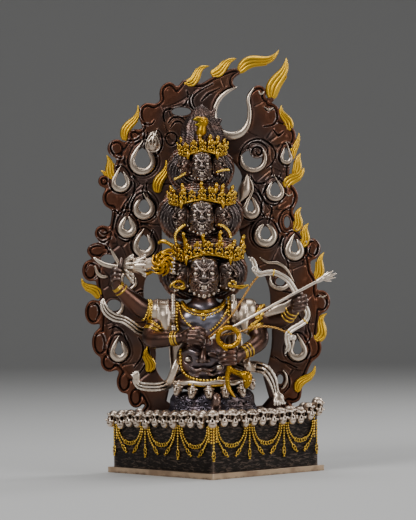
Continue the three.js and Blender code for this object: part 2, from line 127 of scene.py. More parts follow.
class Clay:
    """A block of clay on a grid: shapes are added to it or cut from it, then it is cast."""

    FAR = 4.0  # distances from the surface are kept up to this
    SPARE = 3  # grid steps left free round the block, and worked over round a shape

    def __init__(self, low, high, grain):
        self.grain = grain * COARSER
        spare = self.SPARE * self.grain
        self.low = np.array(low, float) - spare
        counts = np.ceil((np.array(high, float) + spare - self.low) / self.grain).astype(int) + 1
        self.axes = [start + self.grain * np.arange(count) for start, count in zip(self.low, counts)]
        self.field = np.full(counts, self.FAR, np.float32)

    def around(self, shape, blend):
        """The part of the grid round a shape, and the distances to the shape there."""
        low, high, distance = shape
        margin = blend + self.SPARE * self.grain
        cuts = []
        for axis, start, stop in zip(self.axes, low, high):
            first, last = np.searchsorted(axis, (start - margin, stop + margin))
            cuts.append(slice(int(first), int(last)))
        x, y, z = (axis[cut] for axis, cut in zip(self.axes, cuts))
        return tuple(cuts), distance(x[:, None, None], y[None, :, None], z[None, None, :])

    def add(self, shape, blend=0.0):
        cuts, distance = self.around(shape, blend)
        self.field[cuts] = smooth_min(self.field[cuts], distance, blend)

    def cut(self, shape, blend=0.0):
        cuts, distance = self.around(shape, blend)
        self.field[cuts] = smooth_max(self.field[cuts], -distance, blend)

    def roll(self, stations, blend=1.0, steps=4, closed=False, work=None):
        """Adds a roll of clay along a smooth line of stations."""
        line = smooth_line(stations, steps, closed)
        if closed:
            line = np.vstack([line, line[:1]])
        for start, end in zip(line, line[1:]):
            (work or self.add)(bar(start, end), blend)

    def groove(self, stations, blend=0.5, steps=4, closed=False):
        """Cuts a groove along a smooth line of stations."""
        self.roll(stations, blend, steps, closed, self.cut)

    def emboss(self, raise_by):
        """Moves the surface out by raise_by(x, y, z) millimetres, except at the block's far ends."""
        x, y, z = (axis[:-1] for axis in self.axes)
        self.field[:-1, :-1, :-1] -= raise_by(x[:, None, None], y[None, :, None], z[None, None, :])

    def cast(self, name, triangles):
        """The clay's surface as an object, thinned to at most so many triangles."""
        grid = openvdb.FloatGrid(background=self.FAR)
        grid.copyFromArray(np.clip(self.field, -self.FAR, self.FAR).astype(np.float32))
        points, threes, fours = grid.convertToPolygons(isovalue=0.0, adaptivity=0.0)
        faces = [tuple(row) for row in fours.tolist() + threes.tolist()]
        return cast_object(name, points * self.grain + self.low, faces, triangles)


# Objects

def new_object(name, data):
    obj = bpy.data.objects.new(name, data)
    bpy.context.collection.objects.link(obj)
    return obj


def cast_object(name, vertices, faces, triangles=None):
    """An object with this surface, its faces turned outwards."""
    mesh = bpy.data.meshes.new(name)
    mesh.from_pydata((np.asarray(vertices) * MM).tolist(), [], faces)
    obj = new_object(name, mesh)
    count = sum(len(face) - 2 for face in faces)
    if triangles and count > triangles:
        apply_modifier(obj, "DECIMATE", ratio=triangles / count)
    face_outwards(obj.data)
    smooth_shade(obj)
    return obj


def per_point(mesh, what="co"):
    """The points' places, or their normals, as rows of three numbers."""
    values = np.empty(len(mesh.vertices) * 3)
    mesh.vertices.foreach_get(what, values)
    return values.reshape(-1, 3)


def face_outwards(mesh):
    """Turns all faces round if the volume inside them comes out negative."""
    mesh.calc_loop_triangles()
    corners = np.empty(len(mesh.loop_triangles) * 3, np.int32)
    mesh.loop_triangles.foreach_get("vertices", corners)
    a, b, c = per_point(mesh)[corners.reshape(-1, 3)].transpose(1, 0, 2)
    if np.einsum("ij,ij->i", a, np.cross(b, c)).sum() < 0:
        mesh.flip_normals()


def smooth_shade(obj, angle=None):
    mesh = obj.data
    mesh.polygons.foreach_set("use_smooth", [True] * len(mesh.polygons))
    if angle is not None:
        use_only(obj)
        bpy.ops.object.shade_smooth_by_angle(angle=radians(angle))


def use_only(*objects):
    bpy.ops.object.select_all(action="DESELECT")
    for obj in objects:
        obj.select_set(True)
    bpy.context.view_layer.objects.active = objects[0]


def edit_mode(on=True):
    bpy.ops.object.mode_set(mode="EDIT" if on else "OBJECT")


def edit_chosen(obj, kind, chosen):
    """Opens an object for editing, with only the chosen of its edges or faces selected."""
    use_only(obj)
    edit_mode()
    bpy.ops.mesh.select_mode(type=kind)
    bpy.ops.mesh.select_all(action="DESELECT")
    edit_mode(False)
    for part in obj.data.edges if kind == "EDGE" else obj.data.polygons:
        part.select = chosen(part)
    edit_mode()


def apply_modifier(obj, kind, **settings):
    use_only(obj)
    modifier = obj.modifiers.new(kind.lower(), kind)
    for key, value in settings.items():
        setattr(modifier, key, value)
    bpy.ops.object.modifier_apply(modifier=modifier.name)


def join(name, objects):
    """One object out of several."""
    use_only(*objects)
    if len(objects) > 1:
        bpy.ops.object.join()
    objects[0].name = name
    objects[0].data.name = name
    return objects[0]


def placed_copy(source, name, matrix):
    """A copy with a mesh of its own, its place (in millimetres) in its mesh."""
    mesh = source.data.copy()
    place = matrix.copy()
    place.translation = place.translation * MM
    mesh.transform(place)
    if place.determinant() < 0:
        mesh.flip_normals()
    return new_object(name, mesh)


def discard(*objects):
    for obj in objects:
        bpy.data.objects.remove(obj, do_unlink=True)


def place_at(x, y, z, yaw=0.0, pitch=0.0, roll=0.0, size=(1, 1, 1)):
    """A placing: scaled, rolled about Y, pitched about X, turned about Z, then moved."""
    turn = (Matrix.Rotation(radians(yaw), 4, "Z") @ Matrix.Rotation(radians(pitch), 4, "X")
            @ Matrix.Rotation(radians(roll), 4, "Y"))
    return Matrix.Translation((x, y, z)) @ turn @ Matrix.Diagonal((*size, 1))


def store(obj, name, values):
    """Keeps a number between 0 and 1 for each point of an object."""
    layers = obj.data.attributes
    layer = layers.get(name) or layers.new(name, "FLOAT", "POINT")
    layer.data.foreach_set("value", np.clip(values, 0, 1).astype(np.float32))


def mark_wear_and_shading(obj, gain, rounds):
    """Stores how much each point stands out, from 0 in a recess to 1 on a ridge; the metals paint shade into
    the recesses and wearing with a painted highlight onto the ridges.

    rounds is how often each point takes over half of what its neighbours have.
    """
    mesh = obj.data
    count = len(mesh.vertices)
    places, normals = per_point(mesh), per_point(mesh, "normal")
    ends = np.empty(len(mesh.edges) * 2, np.int32)
    mesh.edges.foreach_get("vertices", ends)
    i, j = ends.reshape(-1, 2).T

    def summed(at_i, at_j):
        return np.bincount(i, at_i, count) + np.bincount(j, at_j, count)

    step = places[j] - places[i]
    length = np.maximum(np.linalg.norm(step, axis=1), 1e-9)
    degree = np.maximum(summed(None, None), 1)
    stand = summed(-(step * normals[i]).sum(1) / length, (step * normals[j]).sum(1) / length) / degree
    for _ in range(rounds):
        stand = 0.5 * stand + 0.5 * (summed(stand[j], stand[i]) / degree)
    store(obj, "worn", 0.5 + gain * stand)


def finish(obj, metal_name, *replaces, gain=3.0, rounds=3):
    """Gives a finished piece its metal, hangs it under the root and hides the imported parts it replaces."""
    obj.data.materials.clear()
    obj.data.materials.append(METALS[metal_name])
    mark_wear_and_shading(obj, gain, rounds)
    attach(obj, ROOT)
    if replaces:
        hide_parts(*replaces)


# Swept pieces

def swept(name, stations, sides=10, steps=6, flat=1.0, closed=False, up=(0, -1, 0), rounded=True):
    """A bar along a smooth line of stations.

    flat squeezes the section along the direction nearest to up.
    """
    line = smooth_line(stations, steps, closed)
    centres, radii = line[:, :3], line[:, 3]
    count = len(line)
    ahead = np.roll(centres, -1, 0) - np.roll(centres, 1, 0)
    if not closed:
        ahead[0], ahead[-1] = centres[1] - centres[0], centres[-1] - centres[-2]
    ahead /= np.linalg.norm(ahead, axis=1)[:, None]
    side = np.cross(ahead, np.array(up, float))
    side /= np.maximum(np.linalg.norm(side, axis=1), 1e-9)[:, None]
    lift = np.cross(side, ahead)
    vertices, faces = [], []
    for i in range(count):
        for k in range(sides):
            angle = 2 * pi * k / sides
            vertices.append(centres[i] + radii[i] * (cos(angle) * side[i] + flat * sin(angle) * lift[i]))
    for i in range(count if closed else count - 1):
        near, far = i * sides, ((i + 1) % count) * sides
        for k in range(sides):
            after = (k + 1) % sides
            faces.append((near + k, near + after, far + after, far + k))
    if not closed:
        for ring, point in ((0, centres[0] - ahead[0] * radii[0] * 0.5),
                            (count - 1, centres[-1] + ahead[-1] * radii[-1] * 0.5)):
            tip = len(vertices)
            vertices.append(point if rounded else centres[ring])
            for k in range(sides):
                after = (k + 1) % sides
                corner = (ring * sides + k, ring * sides + after, tip)
                faces.append(corner if ring else corner[::-1])
    return cast_object(name, vertices, faces)


def oval(x, y, z, wide, high, thick, end, count):
    """Stations on an upright oval, from its top towards +X; end is where they stop, in radians."""
    return [(x + wide * sin(a), y, z + high * cos(a), thick) for a in np.linspace(0, end, count)]


def scroll(x, y, z, wide, high, thick, step=0.9, start=0.0, forward=0.3, count=8):
    """Stations on a spiral; wide and high are its outer radius and what each step takes off."""
    return [(x + (wide[0] - wide[1] * k) * sin(step * k + start), y - forward * k,
             z + (high[0] - high[1] * k) * cos(step * k + start), thick) for k in range(count)]


def bead_shape():
    """One small bead, which every string copies."""
    rings, around = 4, 6
    points = [(0, 0, 1)]
    for i in range(1, rings):
        high = cos(pi * i / rings)
        wide = sin(pi * i / rings)
        points += [(wide * cos(2 * pi * k / around), wide * sin(2 * pi * k / around), high)
                   for k in range(around)]
    points.append((0, 0, -1))
    faces = [(0, 1 + k, 1 + (k + 1) % around) for k in range(around)]
    for i in range(rings - 2):
        a, b = 1 + i * around, 1 + (i + 1) * around
        faces += [(a + k, b + k, b + (k + 1) % around, a + (k + 1) % around) for k in range(around)]
    last = 1 + (rings - 2) * around
    end = len(points) - 1
    faces += [(last + (k + 1) % around, last + k, end) for k in range(around)]
    return np.array(points), faces


def spaced(line, spacing, steps=8):
    """Evenly spaced places on a smooth line."""
    line = smooth_line(line, steps)
    gaps = np.linalg.norm(np.diff(line[:, :3], axis=0), axis=1)
    run = np.concatenate([[0], np.cumsum(gaps)])
    marks = np.linspace(0, run[-1], max(int(round(run[-1] / spacing)), 1) + 1)
    return np.stack([np.interp(marks, run, line[:, k]) for k in range(3)], 1)


def bead_string(lines, radius, spacing=None):
    """Beads threaded along smooth lines, as one object."""
    points, faces = bead_shape()
    vertices, all_faces = [], []
    for line in lines:
        for place in spaced(line, spacing or 2.25 * radius):
            start = len(vertices)
            vertices.extend(place + points * radius)
            all_faces.extend(tuple(start + v for v in face) for face in faces)
    return cast_object("beads", vertices, all_faces)


# Finishes

def linear(hex_colour):
    """sRGB hex to linear RGBA."""
    parts = [int(hex_colour[i:i + 2], 16) / 255 for i in (1, 3, 5)]
    return (*[c / 12.92 if c <= 0.04045 else ((c + 0.055) / 1.055) ** 2.4 for c in parts], 1)


def add_node(tree, kind, output, links=None, **settings):
    """Adds a node and gives one of its outputs.

    settings are the node's properties, and links are its sockets' values or sources.
    """
    made = tree.nodes.new(kind)
    for key, value in settings.items():
        setattr(made, key, value)
    for socket, value in (links or {}).items():
        if isinstance(value, bpy.types.NodeSocket):
            tree.links.new(value, made.inputs[socket])
        else:
            made.inputs[socket].default_value = value
    return made.outputs[output] if made.outputs else None


def metal(name, hollow_and_shade, body, crest_and_highlight, metallic=1.0, rough=(0.3, 0.5), reach=3.0, highlight_and_wear_range=(0.5, 0.85),
          mottle=4.0, tint=None, chasing=0.06, burnish=None, strokes=None):
    """A cast metal: patina and painted shade in its hollows, its own colour on the flats, and bare metal from
    wearing with a painted highlight on its crests.

    reach is how deep in millimetres a recess has to be for its painted shade to turn dark, mottle the size of
    the patina's clouds, chasing the depth of the fine tool marks and strokes the spacing of long
    level tool strokes, whose raised marks take the crests' colour as a painted highlight. The polish colour
    is that of the places marked as polished by rubbing, and on the faces and chest as lit by a painted
    highlight; tint is that of the patina's larger patches, and the last range is where the mark of wearing
    and shading starts and ends to show the crests' colour of wearing and painted highlight.
    """
    material = bpy.data.materials.new(name)
    material.use_nodes = True
    tree = material.node_tree
    tree.nodes.clear()
    place = add_node(tree, "ShaderNodeTexCoord", "Object")
    clouds, patches, marks = [
        add_node(tree, "ShaderNodeTexNoise", "Fac", {"Vector": place, "Scale": 1 / (size * MM),
                                                     "Detail": detail})
        for size, detail in ((mottle, 3), (3 * mottle, 2), (0.9, 4))]
    if strokes:
        level = add_node(tree, "ShaderNodeMapping", 0, {"Vector": place, "Scale": (0.22, 0.22, 1)})
        marks = add_node(tree, "ShaderNodeTexNoise", "Fac", {
            "Vector": level, "Scale": 1 / (strokes * MM), "Detail": 2, "Distortion": 0.8})
    worn, rubbed_and_lit = [add_node(tree, "ShaderNodeAttribute", "Fac", attribute_name=mark)
                    for mark in ("worn", "burnish")]
    # ambient occlusion darkens the recesses: painted shade, varied by the patina's clouds
    sky = add_node(tree, "ShaderNodeAmbientOcclusion", "AO", {"Distance": reach * MM}, samples=6)
    shade = add_node(tree, "ShaderNodeMath", 0, {0: sky, 1: clouds}, operation="ADD")
    # how open to the light a place is (painted shade where it is not), and how patchy, stroked, sunk (more
    # painted shade) and raised (wearing with a painted highlight) it is, from 0 to 1
    is_open, patchy, stroked, shaded_hollows, highlighted_crests = [
        add_node(tree, "ShaderNodeMapRange", 0, {
            "Value": value, "From Min": low, "From Max": high, "To Min": at_low, "To Max": at_high,
        }, interpolation_type="SMOOTHSTEP")
        for value, low, high, at_low, at_high in (
            (shade, 0.75, 1.45, 0, 1), (patches, 0.45, 0.65, 0, 0.8), (marks, 0.5, 0.66, 0, 0.6),
            (worn, 0.05, 0.32, 1, 0), (worn, *highlight_and_wear_range, 0, 1))]
    tinted, burnished_and_lit = [add_node(tree, "ShaderNodeMath", 0, {0: mask, 1: is_open}, operation="MULTIPLY")
                         for mask in (patchy, rubbed_and_lit)]
    # from the hollows' patina and painted shade to the body colour where open, then patches, polish with a
    # painted highlight, the strokes' painted highlight, painted shade where sunk, and wearing with a painted
    # highlight on the ridges
    colour = linear(hollow_and_shade)
    for amount, over in ((is_open, body), (tinted, tint), (burnished_and_lit, burnish), (stroked, strokes and crest_and_highlight),
                         (shaded_hollows, hollow_and_shade), (highlighted_crests, crest_and_highlight)):
        if over:
            layer = {0: amount, 6: colour, 7: linear(over)}
            colour = add_node(tree, "ShaderNodeMix", 2, layer, data_type="RGBA")
    gloss = add_node(tree, "ShaderNodeMapRange", 0, {
        "Value": shade, "From Min": 0.7, "From Max": 1.6, "To Min": rough[1], "To Max": rough[0]})
    bump = add_node(tree, "ShaderNodeBump", 0, {"Height": marks, "Strength": 0.6, "Distance": chasing * MM})
    shader = add_node(tree, "ShaderNodeBsdfPrincipled", 0, {
        "Base Color": colour, "Roughness": gloss, "Metallic": metallic, "Normal": bump})
    add_node(tree, "ShaderNodeOutputMaterial", None, {"Surface": shader})
    return material


def make_finishes():
    """The statue's metals, each named for how it is finished."""
    return {
        # brown patina with painted shade in its hollows, rubbed to a red brown where hands and cloths reach,
        # pale on the thin edges from wearing and a painted highlight
        "halo": metal("oxidised copper", "#0d0a09", "#4f3d37", "#bdb0aa", metallic=0.85, rough=(0.34, 0.55),
                      reach=3.4, highlight_and_wear_range=(0.6, 1), mottle=9, tint="#634331", burnish="#6a3f2b"),
        # warm white silver with a brown wash and painted shade left in the hollows, and a painted highlight
        # on its crests
        "silver": metal("silver-plated copper", "#3f3128", "#dac7b3", "#faecdc", rough=(0.3, 0.46), reach=2.5,
                        highlight_and_wear_range=(0.58, 0.95), mottle=6, tint="#c9b39f", chasing=0.03),
        # mercury gilding: full yellow on the crests from wearing and a painted highlight, olive patina and
        # painted shade in the hollows
        "gold": metal("fire-gilt copper", "#241804", "#c08a20", "#f5cb56", rough=(0.26, 0.42), reach=3.2,
                      highlight_and_wear_range=(0.66, 1), mottle=3, tint="#8f6f18", chasing=0.05),
        # the same gilding left matt, greener at its edges with patina and painted shade, as on the flames
        "leaf": metal("matt gilding", "#2c2508", "#b48518", "#e4b533", metallic=0.9, rough=(0.36, 0.52),
                      reach=2.4, highlight_and_wear_range=(0.62, 1), mottle=4, tint="#7d6e18", chasing=0.06),
        # grey brown patina with painted shade in its hollows, rubbed blue grey where it is smooth and given a
        # painted highlight on the chest, that lets polished crests show with a painted highlight
        "body": metal("antiqued copper", "#100c0b", "#58433b", "#b8a69e", metallic=0.95, rough=(0.28, 0.5),
                      reach=4, highlight_and_wear_range=(0.62, 1), mottle=8, tint="#6e4a3b", chasing=0.05, burnish="#a3a6b6"),
        # the same patina, rubbed back to bright metal with a painted highlight, as on the faces
        "face": metal("rubbed antiqued copper", "#140f0d", "#6a5950", "#cdbfb5", rough=(0.28, 0.5),
                      reach=1.5, highlight_and_wear_range=(0.7, 1), mottle=6, tint="#71564a", chasing=0.03, burnish="#a0928b"),
        # brown hair with a rubbed copper hem
        "hair": metal("brown antiqued copper", "#0c0908", "#4a403e", "#a0948f", metallic=0.95,
                      rough=(0.32, 0.55), reach=2.0, highlight_and_wear_range=(0.6, 1), mottle=7, tint="#574a46", chasing=0.04,
                      burnish="#86604e"),
        # blue black patina with a soft shine, partly a painted highlight on its crests, as on the serpent's
        # tail
        "tail": metal("blue-black antiqued copper", "#0a0808", "#48424a", "#a3a1ac", metallic=0.95,
                      rough=(0.28, 0.5), reach=2.6, highlight_and_wear_range=(0.6, 1), mottle=9, tint="#594a45", chasing=0.06,
                      burnish="#957a6e"),
        # near black patina, all its faces worked over with level tool strokes that carry a painted highlight
        "black": metal("blackened copper", "#080706", "#2b2623", "#7c695d", metallic=0.85, rough=(0.36, 0.58),
                       reach=3, highlight_and_wear_range=(0.62, 1), mottle=10, chasing=1.2, strokes=1.35),
        # bare sheet copper, dulled and scratched
        "bare": metal("bare sheet copper", "#5f4a3a", "#dabc9c", "#efdcc6", metallic=0.9, rough=(0.38, 0.58),
                      reach=3, highlight_and_wear_range=(0.6, 1), mottle=7, tint="#ab8c74", chasing=0.05),
        # drawn copper wire, with painted shade in brown between its strands
        "wire": metal("twisted copper wire", "#170f06", "#7c5a2a", "#d2a35c", rough=(0.3, 0.5), reach=1.6,
                      highlight_and_wear_range=(0.5, 0.85), mottle=3, chasing=0.02),
        # bone-coloured silver, the hollows of the skulls darkened with painted shade
        "skull": metal("worn silver plate", "#20160f", "#a8917d", "#f4e2d0", rough=(0.32, 0.5), reach=4.0,
                       highlight_and_wear_range=(0.55, 0.9), mottle=3.5, tint="#8f7a68", chasing=0.05),
    }


# Stage, camera and lights

def make_stage():
    """A pale floor that sweeps up into a pale wall."""
    bpy.ops.mesh.primitive_plane_add(size=1, location=(0, 0.6, 0))
    floor = bpy.context.object
    floor.name = "floor"
    floor.scale = (9, 7.2, 1)
    bpy.ops.object.transform_apply(scale=True, location=True)
    mesh = floor.data
    far = max(v.co.y for v in mesh.vertices) - 1e-4

    def far_edge(edge):
        return all(mesh.vertices[v].co.y > far for v in edge.vertices)

    edit_chosen(floor, "EDGE", far_edge)
    bpy.ops.mesh.extrude_region_move(TRANSFORM_OT_translate={"value": (0, 0, 4)})
    edit_mode(False)
    edit_chosen(floor, "EDGE",
                lambda edge: far_edge(edge) and all(mesh.vertices[v].co.z < 1e-4 for v in edge.vertices))
    bpy.ops.mesh.bevel(offset=1.6, segments=16)
    edit_mode(False)
    smooth_shade(floor)
    material = bpy.data.materials.new("matt paper backdrop")
    material.use_nodes = True
    shader = material.node_tree.nodes["Principled BSDF"]
    shader.inputs["Base Color"].default_value = linear("#b9b9b8")
    shader.inputs["Roughness"].default_value = 0.9
    floor.data.materials.append(material)


CAMERA_DISTANCE = 2500
CAMERA_LEVEL = 188.3  # on a level with the lowest faces
CAMERA_ASIDE = -3.85
CAMERA_ROLL = 0.6
LENS = 197.8


def make_camera():
    data = bpy.data.cameras.new("camera")
    data.lens = LENS
    data.sensor_width = 36
    camera = new_object("camera", data)
    camera.location = (CAMERA_ASIDE * MM, -CAMERA_DISTANCE * MM, CAMERA_LEVEL * MM)
    camera.rotation_euler = (radians(90), radians(CAMERA_ROLL), 0)
    bpy.context.scene.camera = camera


def make_light(name, place, target, size, power, colour="#ffffff"):
    data = bpy.data.lights.new(name, "AREA")
    data.shape = "RECTANGLE"
    data.size, data.size_y = size
    data.energy = power
    data.color = linear(colour)[:3]
    light = new_object(name, data)
    light.location = place
    light.rotation_euler = (Vector(target) - Vector(place)).to_track_quat("-Z", "Y").to_euler()


def make_lights():
    middle = (0, 0, 0.19)
    make_light("key softbox", (-1.1, -1.5, 1.5), middle, (0.9, 0.9), 34)
    make_light("fill softbox", (1.5, -1.2, 0.7), middle, (0.8, 1.2), 14)
    make_light("top softbox", (0.1, 0.2, 1.7), middle, (1.2, 0.8), 16)
    make_light("rim softbox", (1.2, 0.9, 0.8), middle, (0.4, 1.2), 10)
    world = bpy.data.worlds.new("studio")
    world.use_nodes = True
    back = world.node_tree.nodes["Background"]
    back.inputs["Color"].default_value = linear("#8f8f90")
    back.inputs["Strength"].default_value = 0.35
    bpy.context.scene.world = world


make_camera()
make_stage()
make_lights()
METALS = make_finishes()


# The halo of flames: a pierced plate with a relief on its front

HALO_FRONT = 29.6
HALO_BACK = 35.5
HALO_OUTLINE = [
    (-60, 47.5), (-61, 60), (-70, 76), (-83, 90), (-95, 105), (-100, 122), (-99, 150), (-103, 168),
    (-101, 186), (-94, 206), (-90, 222), (-88, 238), (-89, 258), (-83, 280), (-73, 297), (-61, 306),
    (-60, 320), (-51, 326), (-45, 330), (-42, 339), (-36, 345), (-31, 340), (-24, 348), (-17, 346),
    (-8, 345), (1, 350), (12, 355), (22, 358), (27, 354), (21, 349), (20, 344), (23, 340),
    (13, 335), (6, 325), (6, 311), (11, 304), (18, 301), (26, 303), (31, 308), (33, 318), (31.5, 330),
    (34, 337), (40, 341), (46, 338), (49, 331), (55, 333), (56, 329), (52, 327), (58, 322), (60, 314),
    (66, 308), (74, 302), (73, 291), (71, 277), (69, 260), (75, 245), (72, 231), (74, 217), (82, 205),
    (86, 190), (88, 176), (91, 164), (95, 144), (93, 127), (90, 104), (84, 90), (77, 72), (75, 64),
    (66, 62), (65, 47.5),
]
HALO_MIDDLE = [
    (-35, 59), (-39, 76), (-46, 84), (-51, 94), (-51, 112), (-58, 130), (-61, 155), (-60, 170),
    (-54, 179), (-45, 192), (-44, 218), (-38, 245), (-30, 268), (-20, 286), (4, 288), (18, 276),
    (27, 262), (22, 246), (22, 225), (28, 198), (35, 185), (44, 178), (50, 162), (51, 148),
    (52, 118), (49, 98), (44, 84), (43, 59),
]
# Rolled lobes on the rim: x, z, half width, half height
LOBES = [
    (-69, 67.5, 7, 9.5), (-79, 81, 7, 10), (-92, 99, 8, 9), (-100, 116, 7.5, 12), (-105.5, 143, 8, 11),
    (-108, 180, 7.5, 9.5), (-101.5, 197.5, 9.5, 7), (-97, 213, 7, 7), (-88.5, 244, 8.5, 9.5),
    (-95, 259, 5.5, 5.5), (-84, 288, 8, 8), (-68, 300, 5.5, 5), (-56, 318, 8, 10), (-37, 337, 8, 8.5),
    (43.5, 337, 5, 5), (53, 316, 8, 10), (64, 305, 7, 5), (68, 296, 6, 7), (69, 243, 7, 9),
    (66.5, 220, 8.5, 8), (88.5, 197, 7.5, 9.5), (84, 167, 8, 9), (96.5, 150.5, 7.5, 10),
    (88.5, 110, 7.5, 10.5), (70, 71, 7, 10),
]
# Drop-shaped windows with silver rims: left, right, bottom, top of the hole, thickness of the rim
# underneath, and which limb of the rim runs on into a tail (-1 the left, 1 the right, 0 neither)
DROPS = [
    (-68, -54, 270, 288, 5.2, -1), (-85, -76, 254, 267, 4.4, -1), (-65, -55, 230.5, 242, 5.4, 1),
    (-78, -72, 215.5, 225, 6.2, 0), (-65.5, -55.5, 197.5, 211, 5.4, -1), (-87, -80, 105, 117, 5.4, -1),
    (63.5, 69.5, 275.5, 287, 2.9, 1), (51.5, 61, 244, 256.5, 3.9, 1), (31.5, 37.5, 230.5, 241, 5.8, 0),
    (42.5, 52, 206, 217, 6.2, 0), (69.5, 76, 194, 206, 6.2, -1), (70.5, 78.5, 104, 117, 5.4, 1),
]
# Windows without a rim: x, z, half width, half height
PLAIN_WINDOWS = [
    (-26, 320, 8.5, 3.6), (66.5, 221, 2.6, 5), (-92.5, 189.5, 6.4, 4.5), (-75.5, 170.5, 3.4, 5.4),
    (-87.5, 149, 6, 5), (60, 168.5, 4, 3.6), (59, 82, 2.6, 4.2), (35.5, 277, 9.5, 8), (-69, 307, 1.8, 2.6),
]
SPIRAL_BALL = (40.5, 284, 6.6, 6.4)  # the end of the spiral, which hangs into the window under it
# Grooves chased along the flames, through (x, z) points
FLAME_LINES = [
    [(-21, 338), (-20, 333), (-23, 326), (-31, 322.5), (-39, 322), (-42, 317), (-41, 311)],
    [(-63, 323), (-64, 316), (-60, 310), (-53, 309), (-50, 312)],
    [(-60, 305), (-59, 300), (-61, 292), (-65, 287)],
    [(-56, 302), (-57.5, 295), (-59, 288), (-56, 283), (-50, 281), (-45.5, 285), (-43, 292), (-44, 300),
     (-47, 304)],
    [(-40.5, 297), (-37.5, 301), (-32, 300.5), (-30, 295), (-34, 290), (-38.5, 292), (-40.5, 297)],
    [(-37.5, 310), (-33.5, 314.5), (-27, 315), (-22, 311)],
    [(-35.5, 306), (-32, 310.5), (-27.5, 311), (-24, 308)],
    [(-16.5, 335), (-19, 331), (-18, 325), (-13, 320)],
    [(2, 344), (-8.5, 338.5), (-15, 333), (-16, 327.5), (-13, 322)],
    [(8, 340), (-2, 335), (-8, 329)],
    [(-77, 298), (-73.5, 295), (-66, 295.5), (-61.5, 300)],
    [(-87.5, 294), (-89, 288.5), (-86, 282), (-81, 279), (-78.5, 280)],
    [(-71, 262), (-68, 256), (-69, 248), (-73, 240)],
    [(47.5, 323), (51, 320), (56, 322)],
    [(58, 318), (58.5, 312.5), (55, 307.5), (47, 306)],
    [(55, 303), (59.5, 298), (64, 301)],
    [(24.5, 272), (26.5, 285), (33.5, 292.5), (44, 295), (53.5, 289), (57, 281), (53.5, 273), (48.5, 269)],
    [(32, 286), (35.5, 291.5), (43, 292), (49, 287.5), (50, 281)],
    [(35.4, 280), (36.2, 285.2), (40.2, 288), (44.4, 285.8), (43.8, 281.6), (40.4, 281.2), (39.6, 284)],
    [(35, 262), (39, 256), (47.5, 256.5), (53, 263.5), (53.5, 270)],
    [(21.5, 265), (26.5, 262), (27, 252), (20.5, 243), (24, 233), (26, 225)],
    [(35, 262.5), (36, 255), (40.5, 250), (44.5, 242), (43.5, 233), (47, 225)],
    [(48.5, 237.5), (53, 233.5), (52, 227), (50, 220)],
    [(62, 265), (59, 258.5), (50.5, 254), (45.5, 246), (47.5, 238.5), (57, 236.5), (63.5, 243)],
    [(73, 242), (71, 235.5), (62.5, 230), (59, 221), (62.5, 212.5), (71, 213)],
    [(65, 208.5), (62.5, 202), (63, 194), (67, 184), (66, 174)],
    [(-91, 231.5), (-86, 233), (-81.5, 229.5), (-79, 234.5), (-76.5, 239.5), (-72, 245.5)],
    [(-79, 228), (-76.5, 232), (-74, 238), (-70.5, 244.5)],
    [(-74, 226), (-71.5, 232), (-70.5, 239.5), (-68, 244.5)],
    [(-60, 254.5), (-61, 249), (-58.5, 241), (-53.5, 240)],
    [(-57, 258), (-57.5, 251), (-53.5, 243.5), (-50, 237.5), (-49.5, 226)],
    [(-83, 209), (-76, 205.5), (-68.5, 210), (-66.5, 219)],
    [(-52, 215.5), (-54, 209), (-52, 202), (-54, 194.5)],
    [(-99.5, 214.5), (-95.5, 212), (-89.5, 215)],
    [(-101.5, 208.5), (-96.5, 205), (-89.5, 209)],
    [(-92, 201.5), (-88, 195.5), (-84, 188), (-80, 180)],
    [(-108, 202), (-101.5, 204), (-95, 201.5), (-92, 196), (-96.5, 191.5)],
    [(-69, 159), (-63, 161.5), (-58.5, 159.5)],
    [(-68, 154.5), (-61.5, 156)],
    [(-112, 180), (-108, 186), (-102, 184), (-100, 177), (-104, 173)],
    [(-108, 149), (-103, 150), (-100.5, 144), (-103, 137)],
    [(-104, 122), (-99, 124), (-96, 117), (-97, 110)],
    [(-92, 128), (-86, 130), (-80, 126), (-77, 118)],
    [(-66, 120), (-62, 112), (-64, 102), (-70, 94)],
    [(-60, 118), (-57, 108), (-59, 98), (-66, 88)],
    [(84, 205), (89, 206), (94, 200), (91, 192), (86, 194), (87, 199)],
    [(92, 155), (97, 156), (101, 150), (99, 144)],
    [(62, 160), (70, 158), (77, 151), (82, 141)],
    [(60, 152), (68, 150), (74, 143), (78, 133)],
    [(86, 136), (84, 128), (86, 120), (82, 112)],
    [(60, 128), (66, 122), (68, 112), (64, 104)],
    [(54, 102), (60, 98), (66, 96), (74, 92)],
    [(62, 70), (67, 76), (66, 84), (62, 90)],
]
BURNISHED_REACH = 11  # how far in from the rim the flames are rubbed red
PLAIN_WEAR_AND_SHADING = 0.42  # the mark of wearing and shading where nothing stands out or is sunk, with no painted shade or highlight


def outline_distance(points, x, z):
    """Signed distance to a closed outline in X and Z, negative inside."""
    points = np.array(points, float)
    near = np.full(x.shape, 1e9)
    inside = np.zeros(x.shape, bool)
    for (ax, az), (bx, bz) in zip(points, np.roll(points, -1, 0)):
        ex, ez = bx - ax, bz - az
        t = np.clip(((x - ax) * ex + (z - az) * ez) / max(ex * ex + ez * ez, 1e-9), 0, 1)
        near = np.minimum(near, (x - ax - t * ex) ** 2 + (z - az - t * ez) ** 2)
        if abs(ez) > 1e-9:
            inside ^= ((az > z) != (bz > z)) & (x < ex * (z - az) / ez + ax)
    near = np.sqrt(near)
    return np.where(inside, -near, near)


def oval_distance(x0, z0, rx, rz, x, z):
    """Signed distance to an upright oval, negative inside."""
    near = np.sqrt(((x - x0) / rx) ** 2 + ((z - z0) / rz) ** 2)
    slope = np.sqrt(((x - x0) / rx ** 2) ** 2 + ((z - z0) / rz ** 2) ** 2)
    return near * (near - 1) / np.maximum(slope, 1e-3)


